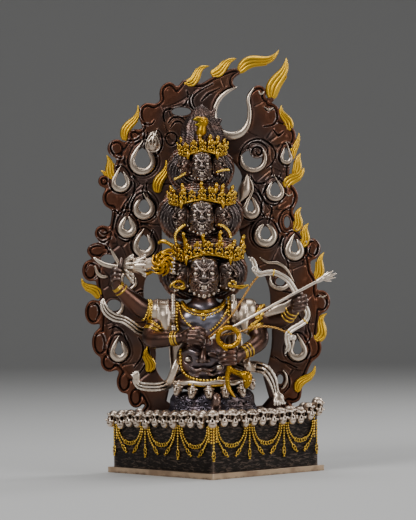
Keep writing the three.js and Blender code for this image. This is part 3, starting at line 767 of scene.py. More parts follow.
def drop_distance(hole, x, z):
    """Signed distance to a drop, its point upwards."""
    left, right, bottom, top = hole[:4]
    radius = (right - left) / 2
    middle = (left + right) / 2
    d = np.hypot(x - middle, z - bottom - radius) - radius
    for half in (0, 0.5):
        za, zb = (bottom + radius + (top - bottom - radius) * t for t in (half, half + 0.5))
        ra, rb = (radius * (1 - 0.93 * t ** 1.5) for t in (half, half + 0.5))
        rise = zb - za
        t = np.clip((z - za) * rise / (rise * rise), 0, 1)
        d = smooth_min(d, np.hypot(x - middle, z - za - t * rise) - (ra + (rb - ra) * t), 1)
    return d


def near_line(points, reach, x, z, axes):
    """The part of a map round a line, and the distances to the line there, longer at its ends."""
    line = smooth_line(points, 5)
    xs, zs = axes
    i0, i1 = np.searchsorted(xs, (line[:, 0].min() - reach, line[:, 0].max() + reach))
    k0, k1 = np.searchsorted(zs, (line[:, 1].min() - reach, line[:, 1].max() + reach))
    cut = (slice(i0, i1), slice(k0, k1))
    near = np.full((i1 - i0, k1 - k0), 1e9)
    total = len(line) - 1
    for i in range(total):
        (ax, az), (bx, bz) = line[i], line[i + 1]
        ex, ez = bx - ax, bz - az
        t = np.clip(((x[cut] - ax) * ex + (z[cut] - az) * ez) / (ex * ex + ez * ez), 0, 1)
        fade = 1 + 0.8 * abs(2 * i / total - 1)
        near = np.minimum(near, np.hypot(x[cut] - ax - t * ex, z[cut] - az - t * ez) * fade)
    return cut, near


def halo_relief(x, z, axes):
    """Maps in X and Z of the outline, the holes, the relief's height, the polish, and the wearing with its
    painted shade and highlight.
    """
    body = outline_distance(smooth_line(HALO_OUTLINE, 3, closed=True), x, z)
    lobes = [oval_distance(*lobe, x, z) for lobe in LOBES]
    for lobe in lobes:
        body = smooth_min(body, lobe, 4.5)
    middle = outline_distance(smooth_line(HALO_MIDDLE, 3, closed=True), x, z)
    drops = [drop_distance(hole, x, z) for hole in DROPS]
    plain = [oval_distance(*window, x, z) for window in PLAIN_WINDOWS]
    ball = oval_distance(*SPIRAL_BALL, x, z)
    plain[-2] = smooth_max(plain[-2], -ball, 0.5)
    holes = np.minimum(np.minimum.reduce(drops), np.minimum.reduce(plain))

    # Each window and lobe has a cell of its own, with a crease where two cells meet
    around = [d - hole[4] * 0.8 for d, hole in zip(drops, DROPS)] + [d - 1.0 for d in plain] + lobes
    nearest = np.sort(np.stack(around), axis=0)[:2]
    crease = np.exp(-((nearest[1] - nearest[0]) / 1.3) ** 2) * np.clip(nearest[0] / 2, 0, 1)
    rim = -body
    height = np.zeros_like(x)
    worn = np.full_like(x, PLAIN_WEAR_AND_SHADING)

    def lines(where, away, *rows):
        """Ridges and grooves (how far away, height, width, how much brighter) that follow an edge; the
        brightness paints a highlight on a ridge and shade in a groove.
        """
        for far, high, wide, bright in rows:
            ridge = np.exp(-((away - far) / wide) ** 2)
            height[where] += high * ridge
            worn[where] += bright * ridge

    everywhere = (slice(None), slice(None))
    creased = crease * np.clip((rim - 3) / 2, 0, 1)
    height -= 0.85 * creased
    # painted shade along the creases
    worn -= 0.3 * creased
    # rim, window and flame lines: a painted highlight on each ridge and painted shade in each groove
    lines(everywhere, rim, (1.2, 0.55, 0.9, 0.16), (2.8, -1.1, 0.6, -0.45), (4.3, 0.5, 1.2, 0.16))
    for d, hole in zip(drops, DROPS):
        lines(everywhere, d - hole[4] * 1.02, (0.5, -1, 0.65, -0.45), (2, 0.5, 0.7, 0.28),
              (3.6, -0.4, 0.6, -0.2))
    for d in plain:
        lines(everywhere, d, (1, 0.4, 0.6, 0.2), (2.2, -0.7, 0.55, -0.4))
    lines(everywhere, ball, (-0.8, 0.5, 0.7, 0.3))
    for lobe in lobes:
        height += 0.9 * np.clip(-(lobe + 3) / 3.5, 0, 1)
    for points in FLAME_LINES:
        cut, near = near_line(points, 2.4, x, z, axes)
        lines(cut, near, (0, -1.15, 0.62, -0.5), (1.5, 0.45, 0.6, 0.34))
    lobe_near = np.minimum.reduce(lobes)
    burnish = 0.6 * np.clip(1.0 - lobe_near / 7, 0, 1) + 0.25 * np.clip(1 - (rim - 2) / BURNISHED_REACH, 0, 1)
    return body, smooth_min(middle, holes, 0), height, np.clip(burnish, 0, 1), np.clip(worn, 0, 1)


def make_halo():
    """The pierced plate: flat behind, in front as high as the relief's map says."""
    grain = 0.55 * COARSER
    xs = np.arange(-119, 110, grain)
    zs = np.arange(44, 364, grain)
    x, z = np.meshgrid(xs, zs, indexing="ij")
    body, holes, height, burnish, worn = halo_relief(x, z, (xs, zs))
    clay = Clay((xs[0], HALO_FRONT - 3, zs[0]), (xs[-1], HALO_BACK + 1, zs[-1]), 0.55)
    wide = np.interp(clay.axes[0], xs, np.arange(len(xs))).round().astype(int)
    high = np.interp(clay.axes[2], zs, np.arange(len(zs))).round().astype(int)
    pick = np.ix_(wide, high)
    plan = smooth_max(body[pick], -holes[pick], 0.3)
    plan = np.maximum(plan, SUNK_FLOOR - clay.axes[2][None, :])
    front = HALO_FRONT - height[pick]
    for k, y in enumerate(clay.axes[1]):
        slope = smooth_max(front - y, np.full_like(front, y - HALO_BACK), 0.5)
        clay.field[:, k, :] = smooth_max(plan, slope, 1.6)
    halo = clay.cast("flame_aureole", triangles=190000)
    px, py, pz = per_point(halo.data).T / MM
    i = np.clip(np.round((px - xs[0]) / grain).astype(int), 0, len(xs) - 1)
    k = np.clip(np.round((pz - zs[0]) / grain).astype(int), 0, len(zs) - 1)
    front = py < HALO_FRONT + 2
    store(halo, "burnish", burnish[i, k] * front)
    finish(halo, "halo", "flame_aureole", gain=2.2)
    # on the front, the relief's painted shade and highlight take the place of the mark from curvature
    store(halo, "worn", np.where(front, worn[i, k], PLAIN_WEAR_AND_SHADING))


def drop_rim(hole):
    """Stations of a silver rim round a drop, thick underneath and thin at its two ends."""
    left, right, bottom, top, thick, tail = hole
    radius = (right - left) / 2
    middle = (left + right) / 2
    stations = []
    for side, turns in ((-1, range(5, 0, -1)), (1, range(0, 6))):
        for k in turns:
            turn = radians(26 * k)
            half = 0.6 * thick * (0.5 + 0.5 * cos(turn / 2) ** 2)
            reach = radius + half - 0.2
            squeeze = 1 + (top - bottom - 2 * radius) / (2 * radius) * max(0, -cos(turn)) * 0.9
            stations.append((middle + side * reach * sin(turn), HALO_FRONT - 1.1,
                             bottom + radius - reach * cos(turn) * squeeze, half))
    for side, end in ((-1, 0), (1, -1)):
        x, y, z, half = stations[end]
        away, rise = abs(x - middle), top - z + 2.2
        if tail in (side, 0):
            more = [(x - side * 0.34 * away, y, z + 0.55 * rise, 0.72 * half),
                    (x - side * 0.66 * away, y, z + rise, 0.4 * half)]
        else:
            more = [(x - side * 0.2 * away, y, z + 0.36 * rise, 0.6 * half),
                    (x - side * 0.4 * away, y, z + 0.62 * rise, 0.3)]
        if side == tail:
            more.append((x - side * (0.8 * away + 0.3 * radius), y, z + rise + 1.2 + 0.5 * radius, 0.3))
        stations = more[::-1] + stations if side < 0 else stations + more
    return stations


# Silver lines on the halo that aren't round a drop: (x, z, half width) stations
SILVER_LINES = [
    [(23, 341, 0.5), (15.5, 337.5, 1.6), (8, 331, 1.9), (3.5, 321, 2.1), (3.5, 311, 2.5),
     (8.5, 301.5, 3.1), (18, 297.8, 3.6), (27.5, 301, 3.2), (33, 309, 2.4), (34.3, 320, 1.9),
     (33.2, 331, 1.5), (38.5, 340.5, 0.4)],
    [(26.5, 281, 0.6), (27, 274, 1.6), (32, 268.5, 2), (39, 267.4, 2.1), (45.5, 271, 1.9), (48, 278, 1.6),
     (46.5, 285, 0.9)],
    [(51, 174, 0.5), (51.5, 167.5, 1.6), (56, 163, 1.9), (62, 162.5, 1.9), (67, 166, 1.6), (68, 172, 0.6)],
    [(61.5, 90, 0.5), (64, 86, 1.1), (64.6, 80.5, 1.3), (62, 75, 1.1), (60, 73.5, 0.5)],
    [(-90, 199, 0.6), (-87, 193.5, 1.4), (-83.5, 187, 1.6), (-82.5, 183, 1)],
    [(-104, 184, 0.6), (-102, 178, 1.5), (-97.5, 174.5, 1.6), (-93, 174.5, 0.8)],
    [(-76, 178.5, 0.8), (-79.5, 175, 1.2), (-80.5, 168.5, 1.2), (-79.5, 164, 0.7)],
    [(-68, 173, 0.8), (-68, 168, 1.3), (-71, 164.5, 1.3), (-75, 162.5, 0.7)],
    [(-80.5, 153, 0.7), (-80, 147, 1.5), (-83, 142, 1.8), (-88, 140.5, 1)],
    [(42, 190, 0.5), (49, 185.5, 1.3), (57, 185, 1.5), (64, 181, 1.5), (69, 174, 1), (72, 168, 0.5)],
    [(31.6, 264, 0.6), (31, 258, 3.2), (29.6, 251.5, 5.6), (27.6, 246, 4.8), (24.6, 239.6, 0.9)],
    [(31.6, 263, 0.5), (34.6, 258, 0.9), (36.4, 251.5, 1.1), (34.6, 245.5, 1.2), (32.4, 241, 1.3)],
    [(43, 337.5, 0.4), (43.5, 335, 0.8), (46, 335, 0.8), (47.5, 337, 0.4)],
    [(48, 323, 0.3), (51.5, 320.5, 0.7), (55.5, 322.5, 0.4)],
    [(65, 247, 0.3), (68, 244.5, 0.7), (71.5, 246, 0.3)],
    [(94, 157, 0.3), (97, 154.5, 0.8), (100.5, 156, 0.4)],
]
# Gilt flames: base and tip (x, z), width, how far they sway, and, on the plate itself, their place in Y
FLAMES = [
    (-23, 344, -1, 360, 8, -2.6), (1, 352, 23, 366.5, 9, -1.6), (25, 355, 61, 373.5, 10, 3.4),
    (53, 331, 67.5, 366.5, 12, 2), (69, 302, 62.5, 324.5, 8.5, -1.6), (71, 277, 78, 300, 6, 0.8),
    (74, 263, 79, 282, 7.5, -0.8), (65, 252, 82, 269, 9.5, 1.8), (-77, 295, -64.5, 326, 8, 2.6),
    (-87.5, 261, -92.5, 282, 8.5, 1), (-90, 262, -98, 268.5, 3.6, 0.4),
    (-48.4, 248.5, -39.8, 277, 8.6, 2, 28.8), (-100, 156, -116, 173, 8.5, -2),
    (-57, 90, -58, 112, 8.5, -2, 28.8), (73, 213, 79, 234, 8.5, -1.6), (79, 199, 85.5, 220, 8.5, -1.6),
    (91, 169, 99, 194, 8, -1.6), (90, 116, 101, 140, 9.5, -3), (73, 71, 90, 94, 7.5, 2.4, 28.8),
]


def flame(base_x, base_z, tip_x, tip_z, width, sway, y=31.2):
    """A leaf of fire, widest below its middle and swaying to its tip, with ribs and a smaller tongue."""
    base, tip = np.array((base_x, base_z), float), np.array((tip_x, tip_z), float)
    length = np.linalg.norm(tip - base)
    ahead = (tip - base) / length
    across = np.array((-ahead[1], ahead[0]))
    turn = 1 if sway > 0 else -1

    def tongue(share, foot, reach, flick, high, flat):
        """share is the half width in halves of the flame's, foot and flick its place at base and tip."""
        stations = []
        for k in range(9):
            t = k / 8
            half = 0.5 * width * (sin(pi * t ** 0.72) ** 0.85 + 0.42 * (1 - t) ** 3)
            side = sway * sin(2 * pi * t * reach) + foot * half + turn * width * flick * t * t
            x, z = base + ahead * length * t * reach + across * side
            stations.append((x, y - high * (1 - 0.5 * t), z, share * half + 0.22))
        return swept("tongue", stations, sides=10, steps=3, flat=flat, rounded=False)

    parts = [tongue(0.84, 0, 1, 0, 0.3, 0.34)]
    parts += [tongue(0.21, place, 0.97, 0, 1.1, 1.1) for place in (-0.58, -0.03, 0.52)]
    parts.append(tongue(0.42, -0.5 * turn, 0.62, -0.42, 0.2, 0.5))
    return parts


def make_jewel():
    """The silver drop at the upper left, with a small flame in relief on it."""
    jewel = Clay((-61, 25, 281), (-42, 33, 307), 0.35)
    jewel.add(egg((-51.6, 30.2, 289.5), (6.8, 2, 6)))
    jewel.add(egg((-51.2, 30.2, 295.5), (4.9, 1.8, 7.5)), 2)
    rim = [(-51.6 + 6.3 * sin(a) * (1 - 0.25 * max(0, cos(a))), 28.6, 291.6 + 8.0 * cos(a)
            + 1.0 * cos(2 * a), 0.65) for a in np.linspace(0, 2 * pi, 16, endpoint=False)]
    jewel.roll(rim, 0.3, 3, True)
    jewel.add(egg((-51.6, 28.6, 288.6), (3.6, 1.5, 3)), 0.5)
    for sway, high, r in ((-2.6, 298.5, 1), (0.2, 301.5, 1.3), (2.6, 303.5, 1)):
        jewel.roll([(-51.6 + sway * 0.8, 28, 289.5, r), (-51.8 + sway * 1.3, 27.8, 293.5, r),
                    (-51.0 + sway * 0.5, 28, 297, r * 0.8), (-50.6 + sway, 28.4, high, 0.35)], 0.35)
    return jewel.cast("halo_silver_jewel", triangles=9000)


def make_halo_trim():
    """Silver rims and lines, the silver jewel and the gilt flames on the plate."""
    rims = [swept("rim", drop_rim(hole), sides=14, steps=4, flat=0.55) for hole in DROPS]
    rims += [swept("line", [(x, HALO_FRONT - 0.9, z, r) for x, z, r in line], sides=12, steps=5, flat=0.6)
             for line in SILVER_LINES]
    finish(join("halo_silver_rims", rims), "silver", gain=0.5, rounds=6)
    finish(make_jewel(), "silver", gain=2.0, rounds=1)
    flames = [part for row in FLAMES for part in flame(*row)]
    finish(join("halo_gilt_flames", flames), "leaf", gain=2.6, rounds=1)


make_halo()
make_halo_trim()


# Faces

def both_sides(stations):
    """The same stations on the left and on the right."""
    return [stations, [(-station[0], *station[1:]) for station in stations]]


def wrathful_face():
    """A wrathful face looking along -Y, 26 mm wide, as clay and its silver parts."""
    face = Clay((-18, -31, -23), (18, 3, 21), 0.32)
    face.add(egg((0, -7, 1), (13.2, 14.5, 18)))
    face.add(egg((0, -9.5, -9), (11.6, 11.8, 9.5)), 4)
    face.add(egg((0, -12, 12.5), (11.6, 9.8, 6.8)), 3)
    for side in (-1, 1):
        face.add(egg((side * 6, -16.6, 12.4), (5, 4.8, 4.4)), 2)
    for side in (-1, 1):
        face.add(egg((side * 9.2, -15, -2.6), (3.8, 5.6, 4.4)), 2.5)
        face.cut(egg((side * 6.9, -23.4, 3.4), (4.4, 4.4, 3.2)), 1.2)
        face.add(egg((side * 14.3, -5, 0), (1.8, 3.4, 6.5)), 0.6)
        face.cut(egg((side * 15.6, -6.5, 1.5), (1.3, 1.8, 3.4)), 0.6)
    face.cut(egg((0, -26, -7.8), (5.4, 7, 3.2)), 0.8)
    folds = [
        # brow band, its curl outside, upper and lower lid
        [(0.4, -23.2, 6.2, 1.3), (2.6, -23, 7.4, 1.2), (4.9, -21.6, 10.2, 1.1), (6.2, -20.4, 12.4, 0.7)],
        [(4.8, -22, 7.4, 1), (7.8, -20.8, 8, 1.2), (10.4, -17.6, 9.4, 1.1), (9.6, -18.4, 11.8, 0.9),
         (7.9, -19.8, 11, 0.6)],
        [(3, -21.8, 3, 0.5), (5.2, -22.4, 6, 0.7), (8.6, -21.2, 6.1, 0.7), (11, -17.8, 3.6, 0.5)],
        [(3.4, -21.6, 2.6, 0.5), (6.2, -21.8, 0.6, 0.6), (9.2, -20.2, 1, 0.6), (11.2, -17.6, 3, 0.4)],
        # cheek, upper lip, moustache, lower lip
        [(3.6, -22.2, -0.8, 0.8), (6.6, -21.6, -2.2, 1.9), (9.8, -18.8, -1.2, 1.8), (12, -15.2, 2, 0.9)],
        [(0, -24, -5, 1), (2.4, -23.6, -4.4, 1), (4.4, -22.2, -3.2, 0.8)],
        [(3.4, -22.6, -4.4, 0.9), (6.8, -20.4, -6.2, 1.2), (8.8, -17.4, -10, 0.8)],
        [(0, -22.8, -11.6, 1.1), (2.8, -22.2, -11.3, 1), (5.2, -20.4, -10, 0.8)],
        # locks of the beard beside the chin
        [(8.6, -18.4, -5.4, 0.7), (10.6, -15.4, -8, 0.9), (9.6, -15.2, -11.4, 0.7)],
        [(6.2, -19.6, -11.6, 0.8), (8.2, -17.2, -10.6, 0.8), (9.4, -15.4, -12.6, 0.6)],
    ]
    for fold in folds:
        for stations in both_sides(fold):
            face.roll(stations, 0.6)
    for side in (-1, 1):
        face.groove([(side * 3.9, -21.8, 12.2, 0.3), (side * 2.3, -22.8, 9.6, 0.55), (0, -23.8, 8.4, 0.5)],
                    0.3)
        face.groove([(side * 7.4, -20.4, 10.2, 0.3), (side * 8.6, -19.4, 10.6, 0.45),
                     (side * 9, -19.2, 9.6, 0.3)], 0.2)
    face.roll([(0, -22.4, 7, 1.5), (0, -24.2, 4.2, 1.5), (0, -26.2, 1.4, 2.2)], 1.2)
    face.add(egg((0, -23.6, 6.3), (2.5, 1.6, 1.3)), 0.6)
    face.add(egg((0, -26.4, 0.4), (2.9, 2.5, 2.2)), 0.9)
    for side in (-1, 1):
        face.add(egg((side * 3.2, -24.6, -0.2), (1.9, 2.3, 1.6)), 0.6)
        face.cut(egg((side * 1.8, -26.6, -1.6), (0.9, 1.2, 0.7)), 0.3)
    face.add(egg((0, -19.4, -13.6), (4.6, 3.6, 2.6)), 1.2)
    face.roll(oval(0, -22.2, 14, 2, 3.5, 0.55, 5.5, 9), 0.3, steps=2, closed=True)
    face.cut(egg((0, -23, 14), (1.4, 1.6, 2.9)), 0.2)

    # silver: eyes with their pupils, tusks and teeth, the third eye and the curled beard
    trim = Clay((-18, -31, -23), (18, 3, 21), 0.32)
    for side in (-1, 1):
        trim.add(egg((side * 7, -20.2, 3.4), (2.4, 2.3, 2.1)))
        trim.groove(oval(side * 7, -22.4, 3.4, 0.9, 0.9, 0.25, 5.4, 7), 0.2, 2, True)
        trim.add(egg((side * 3.6, -22.6, -6.6), (0.7, 0.9, 1.6)))
    trim.add(egg((0, -21.6, 14), (0.9, 1.2, 2.1)))
    for x in (-1.5, 0, 1.5):
        trim.roll([(x, -22, -7.2, 0.8), (x, -22.4, -9.8, 0.8)], 0.3)
    for k in range(-3, 4):
        x = 4.1 * k
        size = 2.3 if k == 0 else 1.6 - 0.1 * abs(k)
        y, z = -20.6 + 0.07 * x * x, -15.8 + 0.03 * x * x
        trim.add(egg((x, y, z), (size, size, size * 1.15)))
        trim.cut(egg((x + 0.2 * size, y - size, z), (0.22 * size, 0.7, 0.4 * size)), 0.3)
    return face, trim


def rub_and_highlight(obj, how_much):
    """Stores how strongly each point is brightened, by rubbing and, on the faces and chest, also by a painted
    highlight: how_much(x, y, z) in millimetres.
    """
    store(obj, "burnish", how_much(*(per_point(obj.data).T / MM)))


# Tiers of heads: middle (x, z), size of the face, how far aside the side faces sit, and the fan
# of hair (half width, half height, middle height)
TIERS = [
    dict(x=-7.5, z=173, size=1.0, aside=19, hair=(39, 24.5, 178)),
    dict(x=-9, z=224.5, size=0.84, aside=16.5, hair=(37.5, 23.5, 228)),
    dict(x=-8.5, z=269.5, size=0.70, aside=14, hair=(29.5, 20, 268)),
]


def make_faces():
    """Three tiers of a front face and two smaller and plainer side faces."""
    face_clay, trim_clay = wrathful_face()
    face = face_clay.cast("face", triangles=15000)

    # rubbed bright metal with a painted highlight on the forehead, nose, cheeks and lips
    def forehead_and_nose(x, y, z):
        high = np.clip((z - 5.5) / 3, 0, 1) * np.clip((11.5 - np.abs(x)) / 3, 0, 1)
        nose = np.exp(-((x / 3.4) ** 2 + ((z - 1) / 3.4) ** 2))
        cheeks = np.exp(-(((np.abs(x) - 7.5) / 3.5) ** 2 + ((z + 2) / 2.4) ** 2))
        lips = (np.exp(-((x / 4) ** 2 + ((z + 4.6) / 1.2) ** 2))
                + np.exp(-((x / 4) ** 2 + ((z + 11.6) / 1.2) ** 2)))
        return 0.62 * high + 0.9 * nose + 0.45 * cheeks + 0.8 * lips

    trim = trim_clay.cast("face_silver", triangles=5200)
    small_face = placed_copy(face, "small_face", Matrix.Identity(4))
    apply_modifier(small_face, "DECIMATE", ratio=0.42)
    small_trim = placed_copy(trim, "small_trim", Matrix.Identity(4))
    apply_modifier(small_trim, "DECIMATE", ratio=0.4)
    rub_and_highlight(face, forehead_and_nose)
    # a faint painted highlight on the side faces' foreheads, stronger towards the top
    rub_and_highlight(small_face, lambda x, y, z: 0.3 * np.clip((z - 4) / 4, 0, 1))
    faces, trims = [], []
    for tier in TIERS:
        scale = tier["size"]
        front = place_at(tier["x"], -3.5 + 2 * (1 - scale), tier["z"], size=(scale, scale, scale))
        faces.append(placed_copy(face, "face_front", front))
        trims.append(placed_copy(trim, "silver_front", front))
        for side in (-1, 1):
            less = scale * 0.74
            turned = place_at(tier["x"] + side * tier["aside"] * 0.62, 1, tier["z"] + 1, yaw=side * 62,
                              size=(less, less, less))
            faces.append(placed_copy(small_face, "face_side", turned))
            trims.append(placed_copy(small_trim, "silver_side", turned))
    discard(face, trim, small_face, small_trim)
    finish(join("faces", faces), "face", "figure", gain=1.3, rounds=2)
    finish(join("eyes_teeth_and_beards", trims), "skull", gain=2.0, rounds=1)


def make_hair():
    """A fan of hair behind each tier of faces, finely ribbed and dotted, with a rolled hem."""
    for index, tier in enumerate(TIERS):
        half_width, half_height, middle = tier["hair"]
        x0 = tier["x"] - 1
        hair = Clay((x0 - half_width - 2, -19, middle - half_height - 2),
                    (x0 + half_width + 2, 26, middle + half_height + 9), 0.5)
        for side in (-1, 1):
            lean = Matrix.Rotation(radians(side * 5), 3, "Y")
            hair.add(egg((x0 + side * half_width * 0.42, 8, middle), (half_width * 0.58, 9, half_height),
                         lean), 4)
        hair.add(egg((x0, 6, middle), (half_width * 0.5, 13, half_height * 0.95)), 5)
        crown = CROWNS[index]
        hair.add(egg((crown["x"], 3, crown["z"] + 7), (crown["half"][0] - 3, crown["half"][1] - 1.5, 11)), 3)

        def from_hem(x, z):
            return 1 - np.hypot((x - x0) / half_width, (z - middle) / half_height)

        def strands(x, y, z):
            out = np.abs(x - x0) - 0.1 * half_width
            phase = np.hypot(out, (z - middle + 0.12 * half_height) * 1.35) + 0.12 * (z - middle)
            down = 17 * np.arctan2(z - middle, out + 1e-6)
            uneven = 1 + 0.5 * np.sin(0.4 * x + 0.5 * z)
            fanned = (0.42 * uneven * np.cos(2 * pi * phase / 3.1)
                      + 0.13 * np.cos(2 * pi * down / 2.1 + 1.5 * phase))
            combed = 0.34 * np.cos(2 * pi * (x - x0) * (1 + 0.008 * (z - middle)) / 3.2
                                   + 0.5 * np.sin(0.3 * z))
            behind = np.clip((y - 9) / 4, 0, 1)
            return (1 - behind) * fanned + behind * combed

        hair.emboss(strands)
        hem = []
        for k in range(28):
            turn = 2 * pi * k / 28
            hem.append((x0 + (half_width - 0.8) * sin(turn), 7.5, middle + (half_height - 1) * cos(turn),
                        1.2))
        hair.roll(hem, 0.3, steps=2, closed=True)
        obj = hair.cast(f"hair_{index + 1}", triangles=30000)
        rub_and_highlight(obj, lambda x, y, z: np.clip(1.0 - from_hem(x, z) / 0.07, 0, 1))
        finish(obj, "hair", "figure", gain=2.2, rounds=1)


def make_topknot():
    """The cone of hair above the highest crown, drawn up to a tuft, and the gilt bird's head on it."""
    middle = TIERS[-1]["x"]
    knot = Clay((-33, -18, 282), (17, 18, 325), 0.42)
    outline = [(20, 286), (20.5, 296), (17, 305), (12, 312), (7.5, 316.5), (5, 319)]
    for (r0, z0), (r1, z1) in zip(outline, outline[1:]):
        for k in range(5):
            t = k / 5
            r, z = r0 + (r1 - r0) * t, z0 + (z1 - z0) * t
            knot.add(egg((middle, 0, z), (r, r * 0.62, 4.2)), 1.5)
    knot.roll([(middle, 0, 316, 4.4), (-8.4, -1, 320, 3), (-8, -1, 322.4, 1.4)], 1)
    knot.roll([(-3, 0, 312, 4), (1, 0, 316, 2.6), (3.5, 0, 320.5, 0.9)], 1)
    knot.roll([(3, 0, 306, 3.4), (6, 0, 309, 2.2), (8.4, 0, 311, 0.9)], 1)

    def strands(x, y, z):
        turn = np.arctan2(x - middle, -y)
        around = turn * 9 + 0.12 * (z - 284)
        return (0.26 * np.cos(1.9 * around + 0.8 * np.sin(0.5 * z)) + 0.2 * np.cos(2.6 * z + 3 * around)
                + 0.12 * np.sin(0.7 * z + 2.0 * turn))

    knot.emboss(strands)
    obj = knot.cast("topknot", triangles=20000)
    rub_and_highlight(obj, lambda x, y, z: 0.14 + 0.12 * np.sin(0.5 * z))
    finish(obj, "hair", "figure", gain=1.3, rounds=1)

    bird = Clay((-20, -24, 288), (0, 2, 318), 0.35)
    bird.roll([(-7.6, -11, 305, 3.4), (-8, -11.2, 302.4, 3.4), (-8.6, -10.6, 299.6, 4.6)], 1)
    bird.add(egg((-6.8, -11, 308.6), (4.7, 4.6, 4.6)), 1)
    bird.roll([(-9.4, -12.2, 310.6, 2.5), (-12.4, -13, 311.2, 1.8), (-15.2, -13.6, 310.4, 0.6)], 0.6)
    bird.roll([(-9.4, -12, 307, 2.1), (-11.8, -12.8, 306, 1.3), (-14, -13.2, 306.4, 0.5)], 0.5)
    bird.groove([(-10.4, -16, 308.7, 0.5), (-13, -16, 308.6, 1), (-16, -16, 308.4, 1.3)], 0.3)
    bird.cut(egg((-7.8, -15.6, 310.2), (1.4, 1, 1.2)), 0.2)
    bird.add(egg((-7.8, -14.9, 310.2), (0.6, 0.6, 0.6)), 0.1)
    finish(bird.cast("bird_head", triangles=6000), "leaf", "figure", gain=0.8, rounds=1)


# Crowns: middle of the front (x, lowest z), half width, half depth, height of the openwork, how many
# leaves, how far the lower edge drops at the sides, and the knobs (x, z) that stand above it
CROWNS = [
    dict(x=-3.5, z=192.5, half=(28.5, 21.5), high=13.5, leaves=11, drop=5.5, knobs=[
        (-31, 204), (-25, 213), (-8, 211.5), (7, 214), (19, 206), (27, 210)]),
    dict(x=-8.5, z=240, half=(27, 18.5), high=11.5, leaves=11, drop=4.5, knobs=[
        (-35.5, 253.5), (-25.5, 255), (-9, 257), (-2, 252.5), (4, 255.5), (9.5, 254.5), (18, 253.5)]),
    dict(x=-7.5, z=282.5, half=(19, 15.5), high=11, leaves=9, drop=4, knobs=[
        (-26, 296), (-10, 298.5), (-1, 297.5), (5.5, 296.5), (11, 294)]),
]


def crown_leaf():
    """One panel of a crown's openwork, 7.5 mm wide and 13 mm high, facing -Y with its foot on z = 0."""
    parts = []

    def tube(points, sides=7):
        parts.append(swept("leaf", points, sides=sides, steps=3, flat=0.9))

    for side in (-1, 1):
        tube([(side * 0.3, -0.8, 1.8, 0.8), (side * 2.6, -1, 1.4, 1.1), (side * 3.9, -1, 3.8, 1.2),
              (side * 2.6, -1.5, 6, 1.1), (side * 1, -1.9, 5, 0.8)])
        tube([(side * 3.7, -0.6, 7.2, 0.6), (side * 3.2, -1, 9.4, 1.1), (side * 1.3, -1.4, 10.2, 0.9),
              (side * 1, -1.6, 8.2, 0.6)])
    tube([(0, -0.6, 9, 0.9), (-0.8, -1.3, 10.6, 1.5), (0.2, -1.7, 12.2, 1.5), (1.5, -1.6, 11.6, 1.1),
          (1.2, -1.8, 10.5, 0.6)], 8)
    points, faces = bead_shape()
    for x, y, z, r in ((0, -2.2, 7.2, 1.1), (3.8, -1.2, 10, 1.3), (0, -1.8, 2.4, 1.2), (3.8, -1.6, 0.8, 1.1)):
        parts.append(cast_object("ball", np.array((x, y, z)) + points * r, faces))
    return join("crown_leaf", parts)


def make_crowns():
    """Three gilt crowns: a row of openwork leaves, two bands, knobs, temple leaves and a rose."""
    leaf = crown_leaf()
    for index, crown in enumerate(CROWNS):
        half_width, half_depth = crown["half"]
        size = crown["high"] / CROWNS[0]["high"]
        copies = []

        def edge(turn):
            """A place on the crown's lower edge, and the way it faces there."""
            across = abs(sin(turn))
            drop = crown["drop"] * (1.4 * across ** 1.6 if across < 0.8 else 1.4 * 0.7 - 1.6 * (across - 0.8))
            normal = degrees(atan2(half_depth * sin(turn), half_width * cos(turn)))
            return (crown["x"] + half_width * sin(turn), 1.0 - half_depth * cos(turn),
                    crown["z"] - drop, normal)

        count = crown["leaves"]
        for k in range(count):
            x, y, z, normal = edge(radians(-100 + 200 * (k + 0.5) / count))
            uneven = (size * (0.86 + 0.08 * sin(3 * k)), size, size * (0.96 + 0.09 * sin(2.3 * k + index)))
            place = place_at(x, y - 0.4, z + 0.8, yaw=normal, pitch=10, size=uneven)
            copies.append(placed_copy(leaf, "leaf", place))
        for level, thick in ((0.6, 2), (2.9, 0.8)):
            ring = []
            for k in range(25):
                x, y, z, _ = edge(radians(-104 + 208 * k / 24))
                ring.append((x, y + 0.2, z + level, thick))
            copies.append(swept("band", ring, sides=8, steps=2, flat=0.6, up=(0, 0, 1)))
        for x, top in crown["knobs"]:
            across = max(-0.97, min(0.97, (x - crown["x"]) / (half_width + 1)))
            y = 1.0 - half_depth * sqrt(1 - across * across)
            foot = crown["z"] + crown["high"] * 0.55
            lean = 2.2 * (x - crown["x"]) / half_width
            copies.append(swept("knob", [(x - lean, y, foot, 1.5),
                                         (x - 0.6 * lean + 0.6, y - 0.6, (foot + top) / 2 - 1, 2.1),
                                         (x - 0.3 * lean - 0.4, y - 0.8, top - 4.4, 1.4),
                                         (x + 0.2, y - 1, top - 2.2, 1.9),
                                         (x + 0.5 * lean, y - 0.6, top - 0.4, 1.1)],
                                sides=8, steps=3, up=(0, -1, 0.01)))
        for side in (-1, 1):
            x, y, z, _ = edge(radians(side * 42))
            copies.append(swept("temple_leaf", [(x, y - 1.5, z + 5, 1), (x, y - 2, z + 1, 2.1),
                                                (x, y - 1.6, z - 2.4, 1.3),
                                                (x, y - 1, z - 5.0 * size, 0.3)], sides=8, steps=3))
        rose = 2.7 * size
        front = (crown["x"] - (3.9 if index == 0 else 0), -half_depth)
        copies.append(swept("rose", [(front[0], front[1] - 0.2, crown["z"] + 2.2, rose),
                                     (front[0], front[1] - 2, crown["z"] + 2.2, rose * 0.5)],
                            sides=10, steps=1, up=(0, 0, 1)))
        finish(join(f"crown_{index + 1}", copies), "gold", "figure", gain=1.2, rounds=1)
    discard(leaf)


make_faces()
make_hair()
make_topknot()
make_crowns()


# Body

BODY_X = -8  # the body's middle, a little left of the plinth's corner
COIL_X, COIL_Y = -1.5, 1.5  # the middle of the coil it sits on
